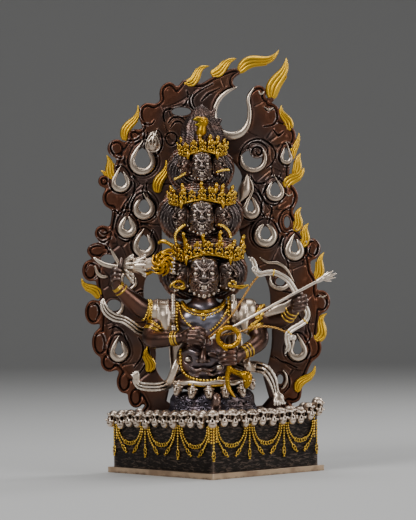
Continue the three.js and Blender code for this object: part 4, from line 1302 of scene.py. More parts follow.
# Arms as stations from shoulder to wrist
RAISED_LEFT = [(-34, 1, 145, 8.5), (-50, 1, 144.5, 8.2), (-61, -1, 146, 8.2), (-72, -5, 155, 7.2),
               (-83.5, -11, 167, 4.6)]
LOWERED_LEFT = [(-36, 0, 142, 8.5), (-50, -2, 131, 7.6), (-54, -7, 120.5, 7.2), (-44, -15, 119.5, 6.6),
                (-30, -23, 121, 5.2)]
LOWERED_RIGHT = [(22, 0, 142, 8.5), (36, -4, 130, 7.8), (40.5, -9, 119, 7.2), (34, -17, 112, 6.2),
                 (24, -25, 107, 4.8)]
RAISED_RIGHT = [(20, 1, 145, 8.5), (38, 0, 141, 8), (51, -4, 135.5, 7.2), (63, -12, 137, 6),
                (71, -22, 147, 4.6)]
# Fingers as stations from knuckle to tip
FINGERS = [
    # raised left hand: the fist round the banner's horn, with one finger up
    [(-81.5, -16, 180, 2.1), (-79.8, -17, 185, 1.9), (-79.3, -16, 190, 1.4)],
    [(-86.5, -17, 179, 2), (-84, -20, 181, 1.9), (-80.5, -19.5, 180, 1.6)],
    [(-87, -17, 175.5, 2), (-84.5, -20, 177.2, 1.9), (-80.5, -19.5, 176.4, 1.6)],
    [(-87, -16.5, 172, 1.9), (-84.5, -19.5, 173.5, 1.8), (-81, -19, 173, 1.5)],
    # lowered left hand: a fist that draws the arrow's nock
    [(-20, -29.5, 126.6, 2.3), (-13, -31.5, 126.4, 2.1), (-8, -30, 124.4, 1.9)],
    [(-21, -30.5, 123.6, 2.2), (-13, -32.5, 123.2, 2.1), (-8.6, -31, 121.2, 1.9)],
    [(-21, -30.5, 120.4, 2.2), (-14, -32, 119.8, 2), (-10, -30.5, 118.2, 1.8)],
    [(-21, -29.5, 117.6, 2), (-15, -31, 117, 1.9), (-11.5, -29.5, 116, 1.6)],
    [(-19, -27, 129, 2.1), (-12, -29.5, 129.4, 1.9), (-6.5, -30.5, 126.4, 1.6)],
    # lowered right hand: closed round the snake, fingers to the left
    [(18, -31.5, 109, 2.3), (11.5, -33.5, 109.2, 2.1), (6.6, -32, 107.6, 1.8)],
    [(18, -32.5, 105.6, 2.3), (10.5, -34.5, 105.6, 2.1), (5.6, -32.5, 104.2, 1.8)],
    [(18, -32.5, 102.2, 2.2), (11, -34, 102, 2), (6.6, -32, 100.8, 1.8)],
    [(18, -31.5, 99, 2.1), (12, -33, 98.6, 1.9), (8.4, -31, 98, 1.6)],
    [(19, -30, 111.2, 2.1), (15, -33, 113.4, 1.8), (11.6, -34, 112.4, 1.5)],
    # raised right hand: closed round the bow's grip
    [(71, -28, 152.4, 2.1), (75.5, -30.4, 154.6, 1.9), (80, -28.4, 156.4, 1.6)],
    [(71, -28.6, 149.4, 2.1), (76, -31, 151.2, 1.9), (81, -28.6, 152.6, 1.6)],
    [(71, -28.2, 146.4, 2), (76, -30.4, 147.8, 1.9), (80.6, -28, 148.8, 1.6)],
    [(70, -27.4, 143.6, 1.9), (75, -29.4, 144.6, 1.8), (79, -27.6, 145.4, 1.5)],
    [(70, -25, 154.6, 2), (72.6, -27.6, 157.6, 1.8), (76.6, -29, 158.4, 1.5)],
]
FISTS = [((-83.8, -13.5, 174.5), (4.4, 4.6, 7.4)), ((-20, -25.5, 122.6), (8.2, 5.2, 6.6)),
         ((17.5, -27.5, 104.4), (7.4, 5, 6.8)), ((71.6, -24.4, 149.4), (4.6, 4.8, 6.6))]


def torso_clay():
    """The body with its arms, hands and the face on the belly."""
    body = Clay((-92, -37, 74), (86, 20, 196), 0.6)
    body.add(egg((-2, 0, 82), (35, 21.5, 9)))
    body.add(egg((BODY_X, -2.5, 103), (24, 19.5, 20)), 6)
    body.add(egg((BODY_X, 0, 134), (26, 16, 20)), 6)
    for side in (-1, 1):
        body.add(egg((BODY_X + side * 29.5, 0, 144), (10.5, 11, 10.5)), 4)
        body.add(egg((BODY_X + side * 11, -10.5, 137), (10.5, 7.2, 9)), 3)
    body.add(egg((BODY_X, -2, 153), (10.5, 10, 9)), 3)
    for arm in (RAISED_LEFT, LOWERED_LEFT, LOWERED_RIGHT, RAISED_RIGHT):
        body.roll(arm, 2)
    for middle, radii in FISTS:
        body.add(egg(middle, radii), 2)
    for finger in FINGERS:
        body.roll(finger, 0.4)

    # the face on the belly: brows, nose, cheeks, mouth and moustache
    body.roll([(-27, -13, 107, 1.6), (-21, -18, 109.5, 2.2), (-13, -21.6, 106.5, 2)], 1.4)
    body.roll([(-4, -22, 106.5, 2), (3, -20, 105, 2.4), (10, -15.5, 99, 1.6)], 1.4)
    body.cut(egg((-21.5, -17, 102), (4.6, 3.4, 3.6)), 1.5)
    body.cut(egg((4.8, -19.5, 95), (5.2, 3, 4)), 1.5)
    body.roll([(-8.5, -22.5, 112, 1.8), (-8.8, -24.6, 107, 2.2), (-9.2, -26, 102.6, 3)], 1.6)
    body.add(egg((-9.2, -26, 101.4), (3.6, 3, 2.8)), 1)
    mouth = -9
    for side in (-1, 1):
        body.add(egg((-9.2 + side * 4, -23.6, 101), (2.4, 2.4, 2)), 0.8)
        body.roll([(mouth + side, -24, 94, 1.4), (mouth + side * 6, -22.6, 92.6, 1.6),
                   (mouth + side * 11, -19.6, 95.6, 1)], 0.8)
        body.roll([(mouth + side * 3, -23.4, 90.5, 1), (mouth + side * 8, -21.4, 88.6, 1.2),
                   (mouth + side * 12, -18.4, 90.6, 0.8)], 0.8)
    body.cut(egg((mouth, -25.5, 97), (6, 3.6, 1.9)), 0.8)
    for k in range(5):
        body.roll([(-14 + 3.2 * k, -22.6, 115.5 + 0.6 * (k % 2), 0.9), (-13 + 3.0 * k, -22, 119, 0.8)], 0.6)
    body.roll(scroll(4.8, -18.6, 95, (4.6, 0.55), (3.8, 0.46), 0.8), 0.4)
    body.cut(bar((BODY_X, -17.4, 147, 0.8), (BODY_X, -18.6, 130, 0.5)), 3)
    return body


def front_of(clay, x, z):
    """Where the clay's front surface is at a place seen from the front, or just below that place."""
    i = int(round((x - clay.low[0]) / clay.grain))
    k = int(round((z - clay.low[2]) / clay.grain))
    while not (clay.field[i, :, k] < 0).any():
        k -= 1
    return clay.low[1] + np.argmax(clay.field[i, :, k] < 0) * clay.grain


def laid_on(clay, line, radius, lift):
    """Lays a line of (x, z) places on the clay's front, as stations; lift is in radii."""
    return [(x, front_of(clay, x, z) - radius * lift, z, radius) for x, z in line]


def ring_round(station, ahead, radius, thick):
    """A closed ring of stations round a limb at a station."""
    middle = Vector(station)
    axis = Vector(ahead).normalized()
    side = axis.orthogonal().normalized()
    up = axis.cross(side)
    turns = (2 * pi * k / 14 for k in range(14))
    return [(*(middle + (side * cos(turn) + up * sin(turn)) * float(radius)), thick) for turn in turns]


def limb_ring(arm, along, spread=0.6, thick=1.0):
    """A ring round an arm, at a place counted in stations from its shoulder."""
    line = smooth_line(arm, 10)
    i = min(int(round(along * 10)), len(line) - 2)
    ahead = line[i + 1] - line[i - 1]
    return ring_round(line[i][:3], ahead[:3], line[i][3] + spread, thick)


def make_body():
    body = torso_clay()
    obj = body.cast("body_and_arms", triangles=62000)

    # the chest rubbed blue grey, with a painted highlight on the chest and belly where they face the front
    def chest_and_belly(x, y, z):
        across = np.clip((21 - np.abs(x - BODY_X)) / 9, 0, 1)
        chest = np.clip((z - 122) / 8, 0, 1) * np.clip((152 - z) / 6, 0, 1)
        belly = np.clip((z - 80) / 8, 0, 1) * np.clip((118 - z) / 8, 0, 1)
        return across * (y < -6) * (y > -23) * (0.7 * chest + 0.2 * belly)

    rub_and_highlight(obj, chest_and_belly)
    finish(obj, "body", "figure", gain=2.4, rounds=2)

    # Silver: shoulder cloths, lapels, eyes of the belly's face, hem
    silver = Clay((-60, -33, 76), (36, 16, 164), 0.5)
    for side, x, z in ((-1, -42.5, 143.5), (1, 26, 143)):
        silver.add(bar((x - 4.6, 0, z - side * 0.6, 10.8), (x + 4.6, 0, z + side * 0.6, 11)), 0.3)
        for end in (-5.6, 3.4):
            silver.roll(ring_round((x + end, 0, z), (1, 0, 0), 10.9, 0.8), 0.4, 2, True)
        silver.roll([(x + 0.5, -6.3, z - 4, 5), (x + 1.5, -7.4, z - 11, 3.6), (x + 2.5, -9.4, z - 18, 1.2)],
                    3)
    for x, low, high in ((-34.6, 126, 158), (17.6, 135, 157)):
        for k in range(15):
            z = low + (high - low) * k / 14
            y = front_of(body, x, min(z, 152)) - 0.4
            silver.add(egg((x, max(y, -16), z), (2.3, 2, 1.6)), 0.5)
    for x, z, r in ((-21.8, 102, 3.3), (4.8, 95, 2.6)):
        silver.add(egg((x, front_of(body, x, z) - 0.2, z), (r, 1.9, r * 0.86)))
    hem = []
    for k in range(17):
        turn = radians(-80 + 10 * k)
        hem.append((-2 + 35.6 * sin(turn), -22 * cos(turn), 81.5 + 0.6 * sin(9 * turn), 2.3))
    silver.roll(hem, 0.8)
    finish(silver.cast("silver_clothes", triangles=26000), "silver", "figure", gain=2.0, rounds=2)
    make_jewels(body)


# Gilt rings on the arms: arm, places counted in stations from its shoulder, thickness
ARM_RINGS = [
    (RAISED_LEFT, (1.62,), 1.3), (RAISED_LEFT, (3.62, 3.8, 3.94), 0.95),
    (LOWERED_LEFT, (1.1, 1.26, 1.42), 1), (LOWERED_LEFT, (3.55, 3.72, 3.88), 0.95),
    (LOWERED_RIGHT, (0.95, 1.15), 1.4), (LOWERED_RIGHT, (3.3, 3.5, 3.68, 3.84), 0.95),
    (RAISED_RIGHT, (1.1, 1.35), 1.5), (RAISED_RIGHT, (3.2, 3.42, 3.6), 0.95),
]
# Necklaces and belts, as (x, z) places on the body's front
COLLAR = [(-27, 152), (-23, 147.5), (-17, 144.6), (-9, 143.4), (-1, 144.4), (6, 147.6), (10.5, 153)]
NECKLACES = [
    [(x, z - 3.2) for x, z in COLLAR],
    [(-29.5, 149), (-28.5, 144), (-26, 138), (-22, 133), (-17, 129)],
    [(14, 151), (12.6, 145), (9.5, 139.5), (4, 132), (-2, 127)],
]
LONG_STRINGS = [
    [(-31, 151), (-31.6, 143), (-31.4, 134), (-30.6, 128)],
    [(13.6, 155), (13.8, 148), (13.6, 141), (13, 134)],
]
GARLAND = [(-28.5, 110), (-28.6, 102), (-27.6, 94), (-24, 88.6), (-18, 85.6), (-10, 84.2), (-2, 84),
           (4, 84.4)]
BELT = [(-22, 80.8), (-14, 79.6), (-5, 79), (4, 79.4), (10, 80.4)]


def make_jewels(body):
    """Gilt armlets, bracelets, necklaces, earrings and bead garlands."""
    gold = []

    def tube(stations, sides=6, steps=3, **options):
        gold.append(swept("tube", stations, sides=sides, steps=steps, **options))

    def beads(lines, radius, spacing=None):
        gold.append(bead_string(lines, radius, spacing))

    for arm, places, thick in ARM_RINGS:
        for place in places:
            tube(limb_ring(arm, place, 0.2, thick), 8, 2, closed=True, up=(0.3, 0.2, 0.9))
    beaded = [limb_ring(RAISED_LEFT, 1.85, 0.7), limb_ring(RAISED_LEFT, 1.45, 0.7),
              limb_ring(LOWERED_LEFT, 1, 0.7), limb_ring(RAISED_RIGHT, 1.22, 1.5),
              limb_ring(LOWERED_RIGHT, 1.05, 1.4)]
    beads([ring + ring[:1] for ring in beaded], 1.15)
    for arm, along in ((LOWERED_RIGHT, 1.05), (RAISED_RIGHT, 1.22)):
        x, y, z, r = smooth_line(arm, 10)[int(along * 10)]
        for k in range(5):
            turn = 2 * pi * k / 5
            tube([(x + out * sin(turn + twist), y - r - forward, z + out * cos(turn + twist), thick)
                  for out, twist, forward, thick in ((1.2, 0, 0.6, 1), (3.2, 0, 1.2, 0.9),
                                                     (4, 0.5, 0.6, 0.4))], steps=2)

    tube(laid_on(body, COLLAR, 1.9, 0.3), 8, 5)
    beads([laid_on(body, line, 1.1, 0.6) for line in NECKLACES], 1.15, 2.6)
    beads([laid_on(body, line, 1.2, 0.7) for line in LONG_STRINGS], 1.5, 3.2)
    beads([laid_on(body, GARLAND, 1.4, 0.9)], 1.55, 3.2)
    tube(laid_on(body, BELT, 1.3, 2), 8, 4)
    for x in (5, 9):
        tube(oval(x, front_of(body, x, 85) - 1.2, 85, 1.7, 1.5, 0.6, 5.5, 8), steps=2, closed=True)
    y = front_of(body, -8.5, 141)
    for side in (-1, 1):
        tube([(-8.5, y - 1.2, 142, 0.9), (-8.5 + side * 3.4, y - 1, 139.8, 0.9),
              (-8.5 + side * 6.4, y - 0.4, 140.6, 0.8), (-8.5 + side * 5.4, y - 0.6, 142.4, 0.6)])
    tube(oval(-8.5, y - 1.2, 138.2, 2.1, 2.1, 0.7, 5.5, 9), steps=2, closed=True)

    # earrings and ear scrolls of the lowest front face, and the ribbon end beside its crown
    tube(oval(-29.5, -15, 167.5, 4.6, 2.8, 1.2, 5.6, 10), 8, 2, closed=True)
    tube([(-33, -15, 168.6, 1), (-36, -14.6, 167.4, 1.2), (-37, -14.6, 164.6, 0.6)])
    tube([(-29.6, -15.4, 165, 1), (-26, -15.6, 163.6, 1.1), (-23.6, -15.4, 165.4, 0.6)])
    tube(scroll(16, -15, 167, (4.8, 0.5), (3, 0.34), 1.15), 7)
    tube([(19, -15, 165, 1.4), (24, -15, 164.4, 1.9), (28, -14.6, 165.2, 1.4), (31.5, -14, 166.2, 0.5)],
         8, flat=0.8)
    tube([(-47, -8, 203.6, 1.3), (-43, -9, 205, 2), (-38.6, -10.5, 203.4, 1.6), (-34.6, -11.5, 201, 1.9)],
         8, 4, flat=0.7)
    # beaded side locks of the two upper front faces
    beads([[(-23.5, -12, 219), (-28, -12, 215.6), (-32, -12, 210.6), (-31.6, -12, 204.6)],
           [(5.5, -12, 219), (10, -12, 217), (14, -12, 213), (16, -12, 208)]], 1.3, 1.7)
    tube([(-23.5, -11.4, 219.4, 1.3), (-28, -11.4, 216.2, 1.4), (-32, -11.4, 211, 1.3),
          (-32, -11.4, 204.6, 1)], 7)
    tube([(5.5, -11.4, 219.4, 1.3), (11, -11.4, 217, 1.4), (14.6, -11.4, 213, 1.3), (16.4, -11.4, 208, 0.8)],
         7)
    beads([[(-32, -10, 259), (-27.6, -10.5, 261), (-23, -11, 264)],
           [(5, -11, 265), (10, -10.5, 266.4), (15, -10, 266.6)]], 1.15, 1.3)
    finish(join("gilt_jewellery", gold), "gold", "figure", gain=1.5, rounds=1)


def make_coil():
    """The serpent's tail: a ring of two turns, its skin full of small eyes."""
    coil = Clay((-41, -26, 46), (38, 28, 80), 0.5)
    for z, half_width, half_depth, thick in ((55.2, 29.5, 16.5, 8.2), (65.5, 28, 15.5, 7.4)):
        ring = [(COIL_X + half_width * sin(a), COIL_Y - half_depth * cos(a), z + 1.2 * sin(a), thick)
                for a in np.linspace(0, 2 * pi, 16, endpoint=False)]
        coil.roll(ring, 3, 3, True)
    coil.add(egg((COIL_X, COIL_Y, 61), (31, 18, 13)), 3)
    coil.roll([(2, -22, 70, 3.6), (2.4, -24, 65.5, 3.6), (1.6, -24.6, 61, 2.4)], 1)

    def ribs(x, y, z):
        at_the_ends = np.clip((np.abs(x - COIL_X) - 27) / 5, 0, 1)
        return 0.4 * at_the_ends * np.cos(2.4 * (y + 0.15 * z)) + 0.12 * np.sin(0.9 * x + 1.1 * z)

    coil.emboss(ribs)
    for row, z in enumerate((52.4, 58.2, 63.8, 69)):
        for k in range(13):
            turn = radians(-60 + 10 * k + 5 * (row % 2))
            x = COIL_X + 36 * sin(turn) + 0.8 * sin(5.0 * k + row)
            high = z + 0.9 * sin(3.0 * k + 2 * row)
            if abs(x - 2) < 4.5 and z > 56:
                continue
            size = 1 + 0.22 * sin(7.0 * k + 3 * row)
            lids = []
            for a in np.linspace(0, 2 * pi, 10, endpoint=False):
                lid_x, lid_z = x + 2.5 * size * cos(a), high + 1.5 * size * sin(a)
                lids.append((lid_x, front_of(coil, lid_x, lid_z) + 0.1, lid_z, 0.5))
            y = front_of(coil, x, high)
            coil.roll(lids, 0.4, 2, True)
            coil.cut(egg((x, y - 0.1, high), (1.9 * size, 1.1, 1.0 * size)), 0.3)
            coil.add(egg((x, y + 0.6, high), (0.8 * size, 0.8, 0.7 * size)), 0.15)
    coil.cut(((-99, -99, 40), (99, 99, SUNK_FLOOR), lambda x, y, z: z - SUNK_FLOOR))
    obj = coil.cast("serpent_coil", triangles=52000)
    rub_and_highlight(obj, lambda x, y, z: 0.9 * (np.abs(x - 2) < 4) * (y < -20) * (z > 58))
    finish(obj, "tail", "figure", gain=1.5, rounds=2)


def make_hanging_heads():
    """A garland of small human heads under the hem."""
    head = Clay((-6, -6, -8), (6, 6, 8), 0.3)
    head.add(egg((0, 0, 1.2), (4.4, 4, 4.6)))
    head.add(egg((0, -1, -2.6), (3, 3, 3.4)), 1.4)
    head.roll([(-4.3, -0.6, 3, 0.8), (0, -4, 3.5, 0.9), (4.3, -0.6, 3, 0.8)], 0.3)
    head.add(egg((0, -0.6, 5.2), (2.2, 2.2, 1.6)), 0.8)
    head.roll([(0, -0.6, 5.6, 1.2), (0, -0.2, 7.6, 0.9)], 0.6)
    head.roll([(0, -4, 2.2, 0.7), (0, -4.7, -0.6, 1)], 0.3)
    for side in (-1, 1):
        head.cut(egg((side * 2, -4.2, 0.7), (1.35, 1.3, 1)), 0.3)
        head.add(egg((side * 1.9, -3.2, 0.6), (0.8, 0.6, 0.35)), 0.1)
        head.roll([(side * 0.8, -4.1, 2, 0.4), (side * 2, -3.9, 2.3, 0.45), (side * 3.2, -3, 1.8, 0.35)], 0.2)
        head.add(egg((side * 4.1, 0, 0), (0.5, 0.9, 1.4)), 0.2)
    head.cut(egg((0, -4.4, -2.6), (1.6, 0.8, 0.5)), 0.2)
    master = head.cast("head", triangles=1600)
    heads = []
    for x, z, tilt in ((-31, 76, 10), (-18.5, 73.4, 4), (-4.2, 73.2, -2), (10, 73.6, 5), (24, 74.4, -6),
                       (32, 80.5, -12)):
        across = (x - COIL_X) / 37.5
        y = COIL_Y - 25.5 * sqrt(max(1 - across * across, 0.05))
        heads.append(placed_copy(master, "head", place_at(x, y, z, yaw=degrees(asin(across)) * 0.7,
                                                          roll=tilt)))
    discard(master)
    finish(join("hanging_heads", heads), "skull", "figure", gain=2.2, rounds=1)


make_body()
make_coil()
make_hanging_heads()


# Held things

def beside(stations, offset, lift, radius=None):
    """The same line moved sideways in the X-Z plane, and forward by lift."""
    line = np.array(stations, float)
    ahead = np.gradient(line[:, :3], axis=0)
    length = np.maximum(np.hypot(ahead[:, 0], ahead[:, 2]), 1e-6)
    out = line.copy()
    out[:, 0] += offset * -ahead[:, 2] / length
    out[:, 2] += offset * ahead[:, 0] / length
    out[:, 1] -= lift
    if radius is not None:
        out[:, 3] = radius
    return [tuple(row) for row in out]


# The bow's limb from its upper to its lower end: x, z, radius
BOW = [
    (31.5, 190.5, 0.5), (35, 187.6, 1.2), (36.3, 183.8, 1.7), (37.4, 178.6, 2.2), (40.4, 175.6, 2.1),
    (46, 176.4, 2), (53, 176.7, 2.1), (60, 174, 2.1), (65.6, 169.6, 2.1), (69.4, 164, 2.2),
    (72.4, 158.6, 2.3), (75, 153.6, 2.3), (79.6, 147, 2.1), (82, 140.6, 2.1), (79.6, 134.6, 2.1),
    (74, 130.8, 2.1), (68, 127.2, 2.1), (64, 122.6, 2.1), (64.2, 116.6, 1.8), (65, 112, 1.4),
    (62, 106.4, 0.5),
]
# The string from the bow's upper end to the arrow's nock, and from there to the lower end
STRING = [
    (39.5, -25, 173.6), (35.6, -25.4, 169.4), (31, -26, 163), (24, -27, 151.6), (17, -28, 141.6),
    (8, -28.4, 131.4), (-3.6, -28.8, 121.2),
]
LOWER_STRING = [
    (-3.6, -28.8, 120.6), (9, -28.4, 123.4), (22, -27, 125.6), (33, -25.4, 129), (45, -25, 130.3),
    (55, -25, 128.6), (62.6, -25, 125.4),
]


def make_bow():
    """The bow: a flat limb under two flutes, a scroll at each end, and gilt rings."""
    y = -25
    line = smooth_line([(x, y, z, r) for x, z, r in BOW], 2)
    parts = [swept("flute", beside(line, side * 1.3, 0.5, 0.56 * line[:, 3])[1:-1], sides=8, steps=2)
             for side in (-1, 1)]
    parts.append(swept("limb", line + (0, 0.5, 0, 0), sides=8, steps=2, flat=0.5))
    for x, forward, z, thick, start in ((36.5, 1.6, 180.4, 0.85, 2.6), (69.6, 1, 119.8, 1.05, 4.2)):
        spiral = scroll(x, y - forward, z, (3, 0.42), (3, 0.42), thick, 0.95, start, 0, 7)
        parts.append(swept("scroll", spiral, sides=7, steps=3))
    parts.append(swept("scroll_root", [(64.5, y, 123, 1.7), (67, y, 121.6, 1.8), (70, y, 119.6, 2),
                                       (71, y, 118.6, 0.9)], sides=8, steps=3))
    finish(join("bow", parts), "silver", "bow", gain=2.0, rounds=1)
    rings = []
    for i in (12, 22, 28, 33):
        stations = ring_round(line[i][:3], (line[i + 1] - line[i - 1])[:3], 2.5, 0.75)
        rings.append(swept("ring", stations, sides=6, steps=2, closed=True, up=(0.3, 0.5, 0.8)))
    finish(join("bow_gilt_rings", rings), "gold", gain=1.6, rounds=1)


def twisted(line, radius, strand, turns_per_mm=0.17):
    """Two strands twisted round a line of (x, y, z) points."""
    path = spaced(line, 0.7, steps=10)
    run = np.concatenate([[0], np.cumsum(np.linalg.norm(np.diff(path, axis=0), axis=1))])
    ahead = np.gradient(path, axis=0)
    ahead /= np.linalg.norm(ahead, axis=1)[:, None]
    side = np.cross(ahead, (0, -1, 0))
    side /= np.linalg.norm(side, axis=1)[:, None]
    lift = np.cross(side, ahead)
    strands = []
    for start in (0, pi):
        turn = (2 * pi * turns_per_mm * run + start)[:, None]
        places = path + radius * (np.cos(turn) * side + np.sin(turn) * lift)
        strands.append(swept("strand", [(*p, strand) for p in places], sides=5, steps=1))
    return strands


def make_string():
    strands = twisted(STRING, 0.62, 0.52) + twisted(LOWER_STRING, 0.62, 0.52)
    finish(join("bowstring", strands), "wire", "bowstring", gain=1.2, rounds=0)


def make_arrow():
    """The arrow: a turned shaft, a socket with five barbs, and three vanes at the nock."""
    start, end = Vector((-2.5, -30.5, 120)), Vector((95, -30.5, 171.4))
    ahead = (end - start).normalized()
    bpy.ops.mesh.primitive_cylinder_add(vertices=20, radius=1.3 * MM, depth=(end - start).length * MM)
    shaft = bpy.context.object
    use_only(shaft)
    apply_modifier(shaft, "BEVEL", width=0.25 * MM, segments=2)
    turn = ahead.to_track_quat("Z", "Y").to_matrix().to_4x4()
    turn.translation = (start + end) / 2 * MM
    shaft.matrix_world = Matrix.Identity(4)
    shaft.location = (0, 0, 0)
    shaft.data.transform(turn)
    smooth_shade(shaft, 40)
    parts = [shaft]
    root = (94, -30.4, 171)
    for tip, wide in (((99.6, -31, 177.2), 1.3), ((104, -31.2, 177.8), 1.6), ((107.2, -31.2, 175.6), 1.6),
                      ((106, -31, 172), 1.5), ((102.4, -30.8, 168.6), 1.3)):
        middle = tuple((a + b) / 2 for a, b in zip(root, tip))
        parts.append(swept("barb", [(*root, 0.8), (*middle, wide), (*tip, 0.35)], sides=8, steps=4, flat=0.6))
    parts.append(swept("socket", [(89, -30.5, 168.2, 1.35), (91.4, -30.5, 169.5, 2),
                                  (94.4, -30.5, 171.1, 2.1), (96.5, -30.5, 172.3, 1.2)],
                       sides=10, steps=3))
    for k in range(3):
        turn = 2 * pi * k / 3
        off = (0.9 * sin(turn), 0.9 * cos(turn))
        parts.append(swept("vane", [(-0.5 + off[0] * 0.3, -30.5 + off[1], 121.2, 0.6),
                                    (2.6 + off[0], -30.5 + 2.0 * off[1], 122.6 - off[0], 1.2),
                                    (6.6 + off[0] * 0.4, -30.5 + off[1], 124.8, 0.4)],
                           sides=6, steps=3, flat=0.5))
    finish(join("arrow", parts), "silver", "arrow", gain=1.6, rounds=1)


def make_noose():
    """The snake: its ring above the hand, its tail below and its head with ringed eyes."""
    snake = Clay((0, -40, 66), (36, -24, 133), 0.4)
    ring = [(13 + 9.2 * sin(a), -35.3 + 0.8 * sin(2 * a), 121.6 + 8.2 * cos(a), 2.15)
            for a in np.linspace(0, 2 * pi, 14, endpoint=False)]
    snake.roll(ring, 0.3, 4, True)
    snake.roll([(9, -35, 113.6, 2), (11.4, -33.5, 110, 1.9), (13, -31.5, 104, 1.9), (13.4, -31, 96, 2.2),
                (12, -30.6, 88, 2.2), (12.2, -30.4, 80, 2), (14.6, -30.2, 74, 1.6), (18, -30, 69.6, 0.7)],
               0.4)
    snake.roll([(13.2, -31, 95, 2.2), (18, -31, 91.6, 2.4), (23, -31, 89.6, 2.6), (27, -31, 88.6, 3.1)], 0.6)
    snake.roll([(25.5, -31, 89, 3.4), (29, -31, 87, 4.2), (28.8, -31.2, 82.4, 3.2), (28, -31, 78.6, 1.8)], 1)

    def scales(x, y, z):
        return 0.22 * np.cos(2.4 * (x + z)) * np.cos(2.4 * (x - z))

    snake.emboss(scales)
    for side in (-1, 1):
        x = 29 + side * 2.1
        snake.add(egg((x, -34.6, 83.6), (1.1, 0.8, 1.1)), 0.1)
        snake.groove(oval(x, -34.9, 83.6, 1.3, 1.3, 0.3, 5.5, 7), 0.2, 2, True)
    snake.groove([(25.6, -33.4, 80.5, 0.4), (28, -34.4, 78.6, 0.4), (30.8, -33.2, 80.8, 0.4)], 0.3)
    finish(snake.cast("snake_noose", triangles=20000), "gold", "snake_noose", gain=2.2, rounds=1)


def make_banner():
    """The banner: a horn, three flounces of silver pleats and a gilt scrolled head."""
    y = -14
    silver = Clay((-105, -25, 168), (-32, -3, 200), 0.42)
    silver.roll([(-103, y, 191.2, 0.8), (-99.4, y, 188.4, 1.5), (-95, y, 185.8, 1.8), (-90, y, 184.2, 1.9),
                 (-84, y, 183.2, 1.9), (-77, y, 183, 2.2)], 0.4)
    for k in range(14):
        turn = 2 * pi * k / 14
        s, c = sin(turn), cos(turn)
        fold = 1.0 + 0.35 * (k % 2)
        silver.roll([(-78, y + 1.8 * c, 183 + 2.2 * s, 1), (-74.5, y + 5.6 * c, 182.6 + 6.8 * s, 1.5),
                     (-69.5, y + 6.6 * c * fold, 182.4 + 8.2 * s * fold - (2.4 if s < 0 else 0), 1.3)],
                    0.5, 3)
        silver.roll([(-70, y + 3.6 * c, 184 + 4.4 * s, 1.4), (-64, y + 4.6 * c, 184.4 + 5.6 * s, 1.7),
                     (-58.6, y + 5.0 * c * fold, 184.6 + 6.4 * s * fold - (1.4 if s < 0 else 0), 1.2)],
                    0.5, 3)
        silver.roll([(-60, y + 3.0 * c, 185 + 3.4 * s, 1.3), (-55, y + 3.4 * c, 185.4 + 4.0 * s, 1.4),
                     (-50.5, y + 3.6 * c, 185.8 + 4.4 * s, 1.1)], 0.5, 3)
        silver.roll([(-38, y + 3.4 * c, 184 + 5.0 * s, 1.2), (-34.6, y + 4.2 * c, 183.6 + 6.4 * s, 1.2),
                     (-32.6 - 0.6 * (k % 2), y + 4.2 * c, 183.4 + 6.8 * s, 0.7)], 0.4, 2)
    silver.add(bar((-76, y, 183, 4), (-44, y, 186, 5)), 1)
    finish(silver.cast("banner_pleats", triangles=24000), "silver", "makara_banner", gain=2.4, rounds=1)

    head_x, head_z = -43.5, 185.6
    gold = Clay((-58, -28, 172), (-29, -2, 202), 0.42)
    gold.add(egg((head_x, y, head_z), (9.2, 7.2, 9.6)))
    for ring, (count, near, far, thick, depth) in enumerate(((8, 4.4, 10.4, 2.3, 3.2), (5, 1.6, 6, 2, 6.2))):
        for k in range(count):
            start = 2 * pi * (k + 0.4 * ring) / count
            lock = []
            for t in np.linspace(0, 1, 5):
                turn = start + 1.25 * t * t - 0.5 * t
                out = near + (far - near) * t
                lock.append((head_x + out * sin(turn), y - depth - 1.6 * sin(pi * (0.2 + 0.8 * t)),
                             head_z + out * cos(turn), thick * (1 - 0.62 * t)))
            gold.roll(lock, 0.2, 3)
    gold.add(egg((head_x, y - 8.6, head_z), (1.7, 1.6, 1.7)), 0.2)
    gold.roll([(-44, y - 3, 194.6, 1.6), (-39.6, y - 3, 196.8, 1.7), (-35.4, y - 3, 196.8, 1.4),
               (-33.4, y - 3, 195, 0.8), (-35.4, y - 3, 193.8, 0.6)], 0.4)
    gold.roll([(-62, y - 2, 178.6, 0.9), (-57, y - 3, 176.8, 1.4), (-52.6, y - 3, 178.4, 1.2)], 0.4)
    finish(gold.cast("banner_gilt_head", triangles=16000), "gold", "makara_banner", gain=2.2, rounds=1)


# The flayed skin on the back: fluted strips that trail to the sides and end in a foot or a point
STRIPS = [
    [(-95.5, -9, 155, 1.2), (-95.6, -9, 150, 2.6), (-92.4, -9, 144, 3.3), (-86, -9, 139.4, 3.5),
     (-78, -8, 137.2, 3.4), (-71, -4, 132.6, 3.4), (-64, 3, 127, 3.4), (-54, 11, 125, 3.8),
     (-40, 16.4, 130, 4), (-30, 16.8, 134, 4)],
    [(-68, -11, 86.5, 1.8), (-67.4, -11, 83.4, 2.4), (-64.6, -11, 79.8, 3.2), (-57, -11, 78.4, 3.6),
     (-47, -10, 78.4, 3.7), (-39.4, 0, 80.4, 4.2), (-34, 11, 84, 4.4), (-24, 16.8, 90, 4)],
    [(55, -13.4, 68, 2.4), (53.6, -13, 74, 2.7), (51.2, -12.4, 83, 3.8), (45.4, -11, 92, 4.3),
     (38, -5, 94.6, 4.8), (30.4, 8, 94.6, 4.8), (20, 16.8, 98, 4)],
]


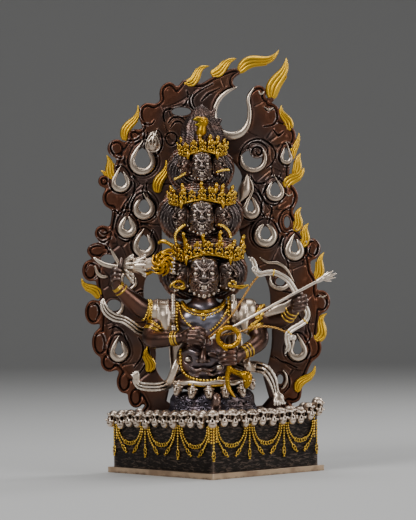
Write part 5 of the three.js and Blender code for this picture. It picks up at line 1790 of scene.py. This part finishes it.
def make_skin():
    """The skin's sheet on the back, its trailing strips with two feet, and the ends over the knees."""
    skin = Clay((-99, -20, 59), (66, 25, 160), 0.6)
    for strip in STRIPS:
        line = smooth_line(strip, 3)
        skin.roll([(x, y + 0.6, z, r * 0.86) for x, y, z, r in line], 0.8, 1)
        radii = line[:, 3]
        # three ridges along the strip, and a crease between each two
        for work, offset, forward, share in ((skin.roll, -0.72, 0.5, 0.36), (skin.roll, 0, 0.72, 0.36),
                                             (skin.roll, 0.72, 0.5, 0.36), (skin.groove, -0.4, 0.84, 0.17),
                                             (skin.groove, 0.4, 0.84, 0.17)):
            work(beside(line, offset * radii, forward * radii, share * radii), 0.5, 1)
    # the foot at the right, toes down, and the one at the left, toes up
    skin.add(egg((56.6, -14.8, 67.2), (4.6, 2.8, 4.8)), 2)
    for k in range(5):
        thick = 1.08 - 0.08 * k
        skin.roll([(53.2 + 1.5 * k, -16.2, 67.5, thick), (52.8 + 2.1 * k, -17.6, 64.4 - 0.35 * k, thick),
                   (52.8 + 2.3 * k, -17.2, 62.0 - 0.45 * k + 0.22 * k * k, thick * 0.85)], 0.15)
    skin.add(egg((-67.4, -12, 84.6), (3.2, 2.6, 4)), 1.5)
    for k in range(5):
        skin.roll([(-68.6 + 0.9 * k, -13.4, 85.4, 0.8), (-70.2 + 1.25 * k, -14.4, 88.2 + 0.3 * k, 0.8),
                   (-71.8 + 1.45 * k, -14, 90.8 + 0.7 * k - 0.35 * (k - 2) ** 2, 0.55)], 0.25)
    outline = [(-37, 84), (-32, 79.5), (24, 79.5), (29, 90), (22, 149), (-38, 151), (-41, 128)]

    def sheet(x, y, z):
        flat_x, flat_z = np.broadcast_arrays(x, z)
        plan = outline_distance(outline, flat_x[:, 0, :], flat_z[:, 0, :])[:, None, :]
        fold = 0.8 * np.sin(0.42 * x + 0.6 * np.sin(0.12 * z)) + 0.3 * np.sin(1.1 * x)
        return smooth_max(np.abs(y - 20.6 + fold) - 1.5, plan, 1.5)

    skin.add(((-42, 15, 79), (30, 25, 152), sheet), 2)
    # the leaf-shaped end over the lowered right forearm
    for k in range(4):
        skin.roll([(46, -15, 139.6 + 0.4 * k, 1.6), (54, -17.6, 142 + 1.4 * k, 1.7),
                   (62, -18, 143.6 + 1.7 * k, 1.3), (67.6, -18, 146 + 2.2 * k, 0.7)], 0.6)
    for side, points in ((-1, [(-30, -9, 101, 1.6), (-33, -11, 93, 2), (-36.4, -10, 84, 2.2),
                               (-38, -6, 80, 2.4)]),
                         (1, [(27, -9, 103, 1.8), (28, -12, 97, 2.2), (31, -10, 93, 2.4),
                              (36, -6, 93, 2.6)])):
        skin.roll(points, 0.8)
        skin.roll(beside(points, side * 2.2, 0.4), 0.8)
    finish(skin.cast("skin_shawl", triangles=60000), "silver", "skin_shawl", gain=3.2, rounds=2)


make_bow()
make_string()
make_arrow()
make_noose()
make_banner()
make_skin()


# Plinth

PLATE = dict(half_width=96.4, front=-58, back=46, bottom=0, top=5)
BASE = dict(half_width=90.5, front=-52, back=41, bottom=5.0, top=50)
PLINTH_TURN = -1.6  # degrees: the plinth sits a little askew under the figure
RIM_CLIMB, RIM_FALL = 3.0, 2.0  # how far its rim goes up to the right and down to the left corner
SKULL_LEVEL = 52.4  # how high the middle of the front skull is
HANG_POINTS = (0, 0.335, 0.665, 0.985)  # where the swags hang, as fractions of a front face
SWAG_TOP, SWAG_LOW = 44.5, 27.0  # how high the loops hang at their ends and in their middle


def three_cornered(name, half_width, front, back, bottom, top):
    """A flat block with its point to the front."""
    deep = back - front
    bpy.ops.mesh.primitive_cylinder_add(vertices=3, radius=1, depth=1, rotation=(0, 0, pi))
    block = bpy.context.object
    block.name = block.data.name = name
    bpy.ops.object.transform_apply(rotation=True)
    block.scale = (half_width / (sqrt(3) / 2) * MM, deep / 1.5 * MM, (top - bottom) * MM)
    bpy.ops.object.transform_apply(scale=True)
    corners = [v.co for v in block.data.vertices]
    low_y = min(c.y for c in corners)
    block.data.transform(Matrix.Translation((0, front * MM - low_y, (bottom + top) / 2 * MM)))
    return block


def on_face(side, along, out=0.0):
    """A place on a front face of the plinth, from the front corner (0) to a back corner (1)."""
    wide, deep = BASE["half_width"], BASE["back"] - BASE["front"]
    length = hypot(wide, deep)
    return (side * (wide * along + out * deep / length), BASE["front"] + deep * along - out * wide / length)


def askew(obj):
    """Turns a piece of the plinth by PLINTH_TURN."""
    obj.data.transform(Matrix.Rotation(radians(PLINTH_TURN), 4, "Z"))
    return obj


def subdivide(obj, cuts):
    use_only(obj)
    edit_mode()
    bpy.ops.mesh.select_all(action="SELECT")
    bpy.ops.mesh.subdivide(number_cuts=cuts)
    edit_mode(False)


def make_base():
    """The base plate and the plinth's block."""
    plate = three_cornered("base_plate", **PLATE)
    subdivide(plate, 30)
    apply_modifier(plate, "BEVEL", width=0.7 * MM, segments=3)
    smooth_shade(plate, 40)
    finish(askew(plate), "bare", "base_plate", rounds=1)

    # the plinth: its floor is sunk inside a rim that climbs to the right corner
    body = three_cornered("plinth_body", **BASE)
    edit_chosen(body, "FACE", lambda face: face.normal.z > 0.9)
    bpy.ops.mesh.inset(thickness=4.2 * MM)
    bpy.ops.mesh.extrude_region_move(TRANSFORM_OT_translate={"value": (0, 0, -3.0 * MM)})
    edit_mode(False)
    for vertex in body.data.vertices:
        if vertex.co.z > 49 * MM:
            x = vertex.co.x / MM
            vertex.co.z += (RIM_CLIMB * max(x, 0) / 90 - RIM_FALL * max(-x, 0) / 90) * MM
    subdivide(body, 24)
    apply_modifier(body, "BEVEL", width=0.8 * MM, segments=2)
    smooth_shade(body, 40)
    finish(askew(body), "black", "plinth", rounds=1)


def skull_master():
    """One skull of the rim, looking along -Y, which every place copies."""
    skull = Clay((-8, -8, -10), (8, 8, 10), 0.34)
    skull.add(egg((0, 0.4, 2.4), (5.9, 5.4, 5.6)))
    skull.add(egg((0, -1.4, -3.4), (4.3, 4.4, 5.6)), 2.2)
    skull.roll([(-4.6, -3.4, 3, 0.9), (-2.4, -5, 3.2, 1), (0, -5.2, 2.2, 0.9), (2.4, -5, 3.2, 1),
                (4.6, -3.4, 3, 0.9)], 0.6, 2)
    for side in (-1, 1):
        skull.cut(egg((side * 2.6, -5.6, 0.2), (1.95, 2.9, 2.05)), 0.3)
        skull.add(egg((side * 4.3, -3.6, -2.6), (1.5, 1.8, 1.2)), 0.5)
        skull.cut(egg((side * 5.4, -2.6, -5.8), (1.6, 2.4, 2.2)), 0.6)
    for high in (4.9, 6.5):
        skull.groove([(-4.4, -2.6, high - 1, 0.4), (0, -5.2 + 0.5 * (high - 4.9), high, 0.45),
                      (4.4, -2.6, high - 1, 0.4)], 0.4)
    skull.cut(egg((0, -6, -2.5), (1, 1.8, 1.5)), 0.3)
    skull.cut(bar((-3.6, -5.5, -5.6, 0.8), (3.6, -5.5, -5.6, 0.8)), 0.3)
    skull.cut(egg((0, -5.4, -8.6), (2.2, 1.2, 0.7)), 0.4)
    for k in range(4):
        skull.cut(bar((1.7 * k - 2.55, -5.9, -4.2, 0.5), (1.6 * k - 2.4, -5.3, -7.6, 0.55)), 0.2)
    return skull.cast("skull", triangles=1600)


def rim_level(side, along):
    """How high the middle of the skulls is: falling to the left corner, up at the right one."""
    if side < 0:
        return SKULL_LEVEL - 4.2 * along
    return SKULL_LEVEL - 1.6 * along + 6.6 * max(0, (along - 0.78) / 0.22) ** 1.5


def make_skulls():
    """Skulls round the plinth's rim, each turned and sized a little differently."""
    master = skull_master()
    wide, deep = BASE["half_width"], BASE["back"] - BASE["front"]
    facing = degrees(atan2(deep, wide))
    skulls = []

    def put(x, y, z, yaw, k):
        skulls.append(placed_copy(master, "skull", place_at(
            x, y, z + 0.5 * sin(2.1 * k), yaw=yaw + 14 * sin(1.7 * k), pitch=-5 + 8 * sin(2.9 * k),
            roll=9 * sin(1.3 * k), size=(0.96 + 0.05 * sin(k), 0.95, 0.96 + 0.05 * sin(2.3 * k)))))

    put(0, BASE["front"] - 0.5, rim_level(1, 0), 0, 0)
    per_face = 11
    for i in range(1, per_face + 1):
        for side in (-1, 1):
            x, y = on_face(side, i / per_face, 0.6)
            put(x, y, rim_level(side, i / per_face), side * facing * 0.8, i + 20 * side)
    for i in range(1, 16):
        along = 2 * i / 16 - 1
        put(wide * along, BASE["back"], rim_level(along, abs(along)), 180, 40 + i)
    discard(master)
    rim = join("skull_rim", skulls)
    finish(askew(rim), "skull", "plinth", gain=2.4, rounds=1)


def on_wall(side, along, z, out=1.1):
    """A place in front of a front face, at a height."""
    x, y = on_face(side, along, out)
    return (x, y, z)


def ring_link(middle, side, radius=1.5, thick=0.48):
    """A ring that lies flat on a front face."""
    wide, deep = BASE["half_width"], BASE["back"] - BASE["front"]
    length = hypot(wide, deep)
    x, y, z = middle
    stations = []
    for k in range(8):
        turn = pi * k / 4
        run = radius * cos(turn)
        stations.append((x + side * wide / length * run, y + deep / length * run, z + radius * sin(turn),
                         thick))
    return swept("link", stations, sides=6, steps=2, closed=True, up=(side * deep, -wide, 0))


def tassel(pieces, strings, side, places):
    """Beads down a line of places, then two ring links and a bell with a flared tip."""
    line = spaced(places, 1)
    strings.append(line[:-9])
    for back in (8, 5.2):
        pieces.append(ring_link(line[int(round(len(line) - back))], side))
    tip, before = line[-1], line[-4]
    middle = (tip + before) / 2
    pieces.append(swept("bell", [(*before, 0.5), (*(before * 0.6 + middle * 0.4), 1.15), (*middle, 0.8),
                                 (*(tip * 0.8 + middle * 0.2), 1.35), (*tip, 0.4)],
                        sides=7, steps=2, flat=0.8))


def make_swags():
    """Gilt strings of beads: a loop between each two hang points, and three tassels from each."""
    pieces, strings = [], []
    for side in (-1, 1):
        for near, far in zip(HANG_POINTS, HANG_POINTS[1:]):
            span, middle = far - near, (near + far) / 2
            lowest = SWAG_LOW + (0.9 + 0.5 * middle) * max(side, 0)
            loop = []
            for k in range(41):
                turn = pi * k / 40
                loop.append(on_wall(side, middle - 0.375 * span * cos(turn),
                                    SWAG_TOP - (SWAG_TOP - lowest) * sin(turn)))
            strings += [loop[:15], loop[26:]]
            pieces += [ring_link(place, side) for place in spaced(loop[15:26], 2.9)]
            for start, turn in ((near, 1), (far, -1)):
                ends = [(0.055, SWAG_TOP), (0.11, 35), (0.22, 27), (0.40, 18.6)]
                tassel(pieces, strings, side,
                       [on_wall(side, start + turn * part * span, z) for part, z in ends])
        for start in HANG_POINTS if side > 0 else HANG_POINTS[1:]:
            tassel(pieces, strings, side, [on_wall(side, start, z) for z in (45, 30, 15.2)])
            if start > 0.9:
                strings.append([on_wall(side, start - 0.025, z) for z in (52 if side > 0 else 45, 40, 31)])
    for k in (-1.5, -0.5, 0.5, 1.5):
        strings.append([(k * 2.2, BASE["front"] - 2.2 + abs(k) * 0.9, z) for z in (46, 36, 31 + abs(k))])
    pieces.append(bead_string(strings, 0.98, spacing=2.25))
    swags = join("bead_swags", pieces)
    finish(askew(swags), "gold", "plinth", gain=1.4, rounds=0)


make_base()
make_skulls()
make_swags()
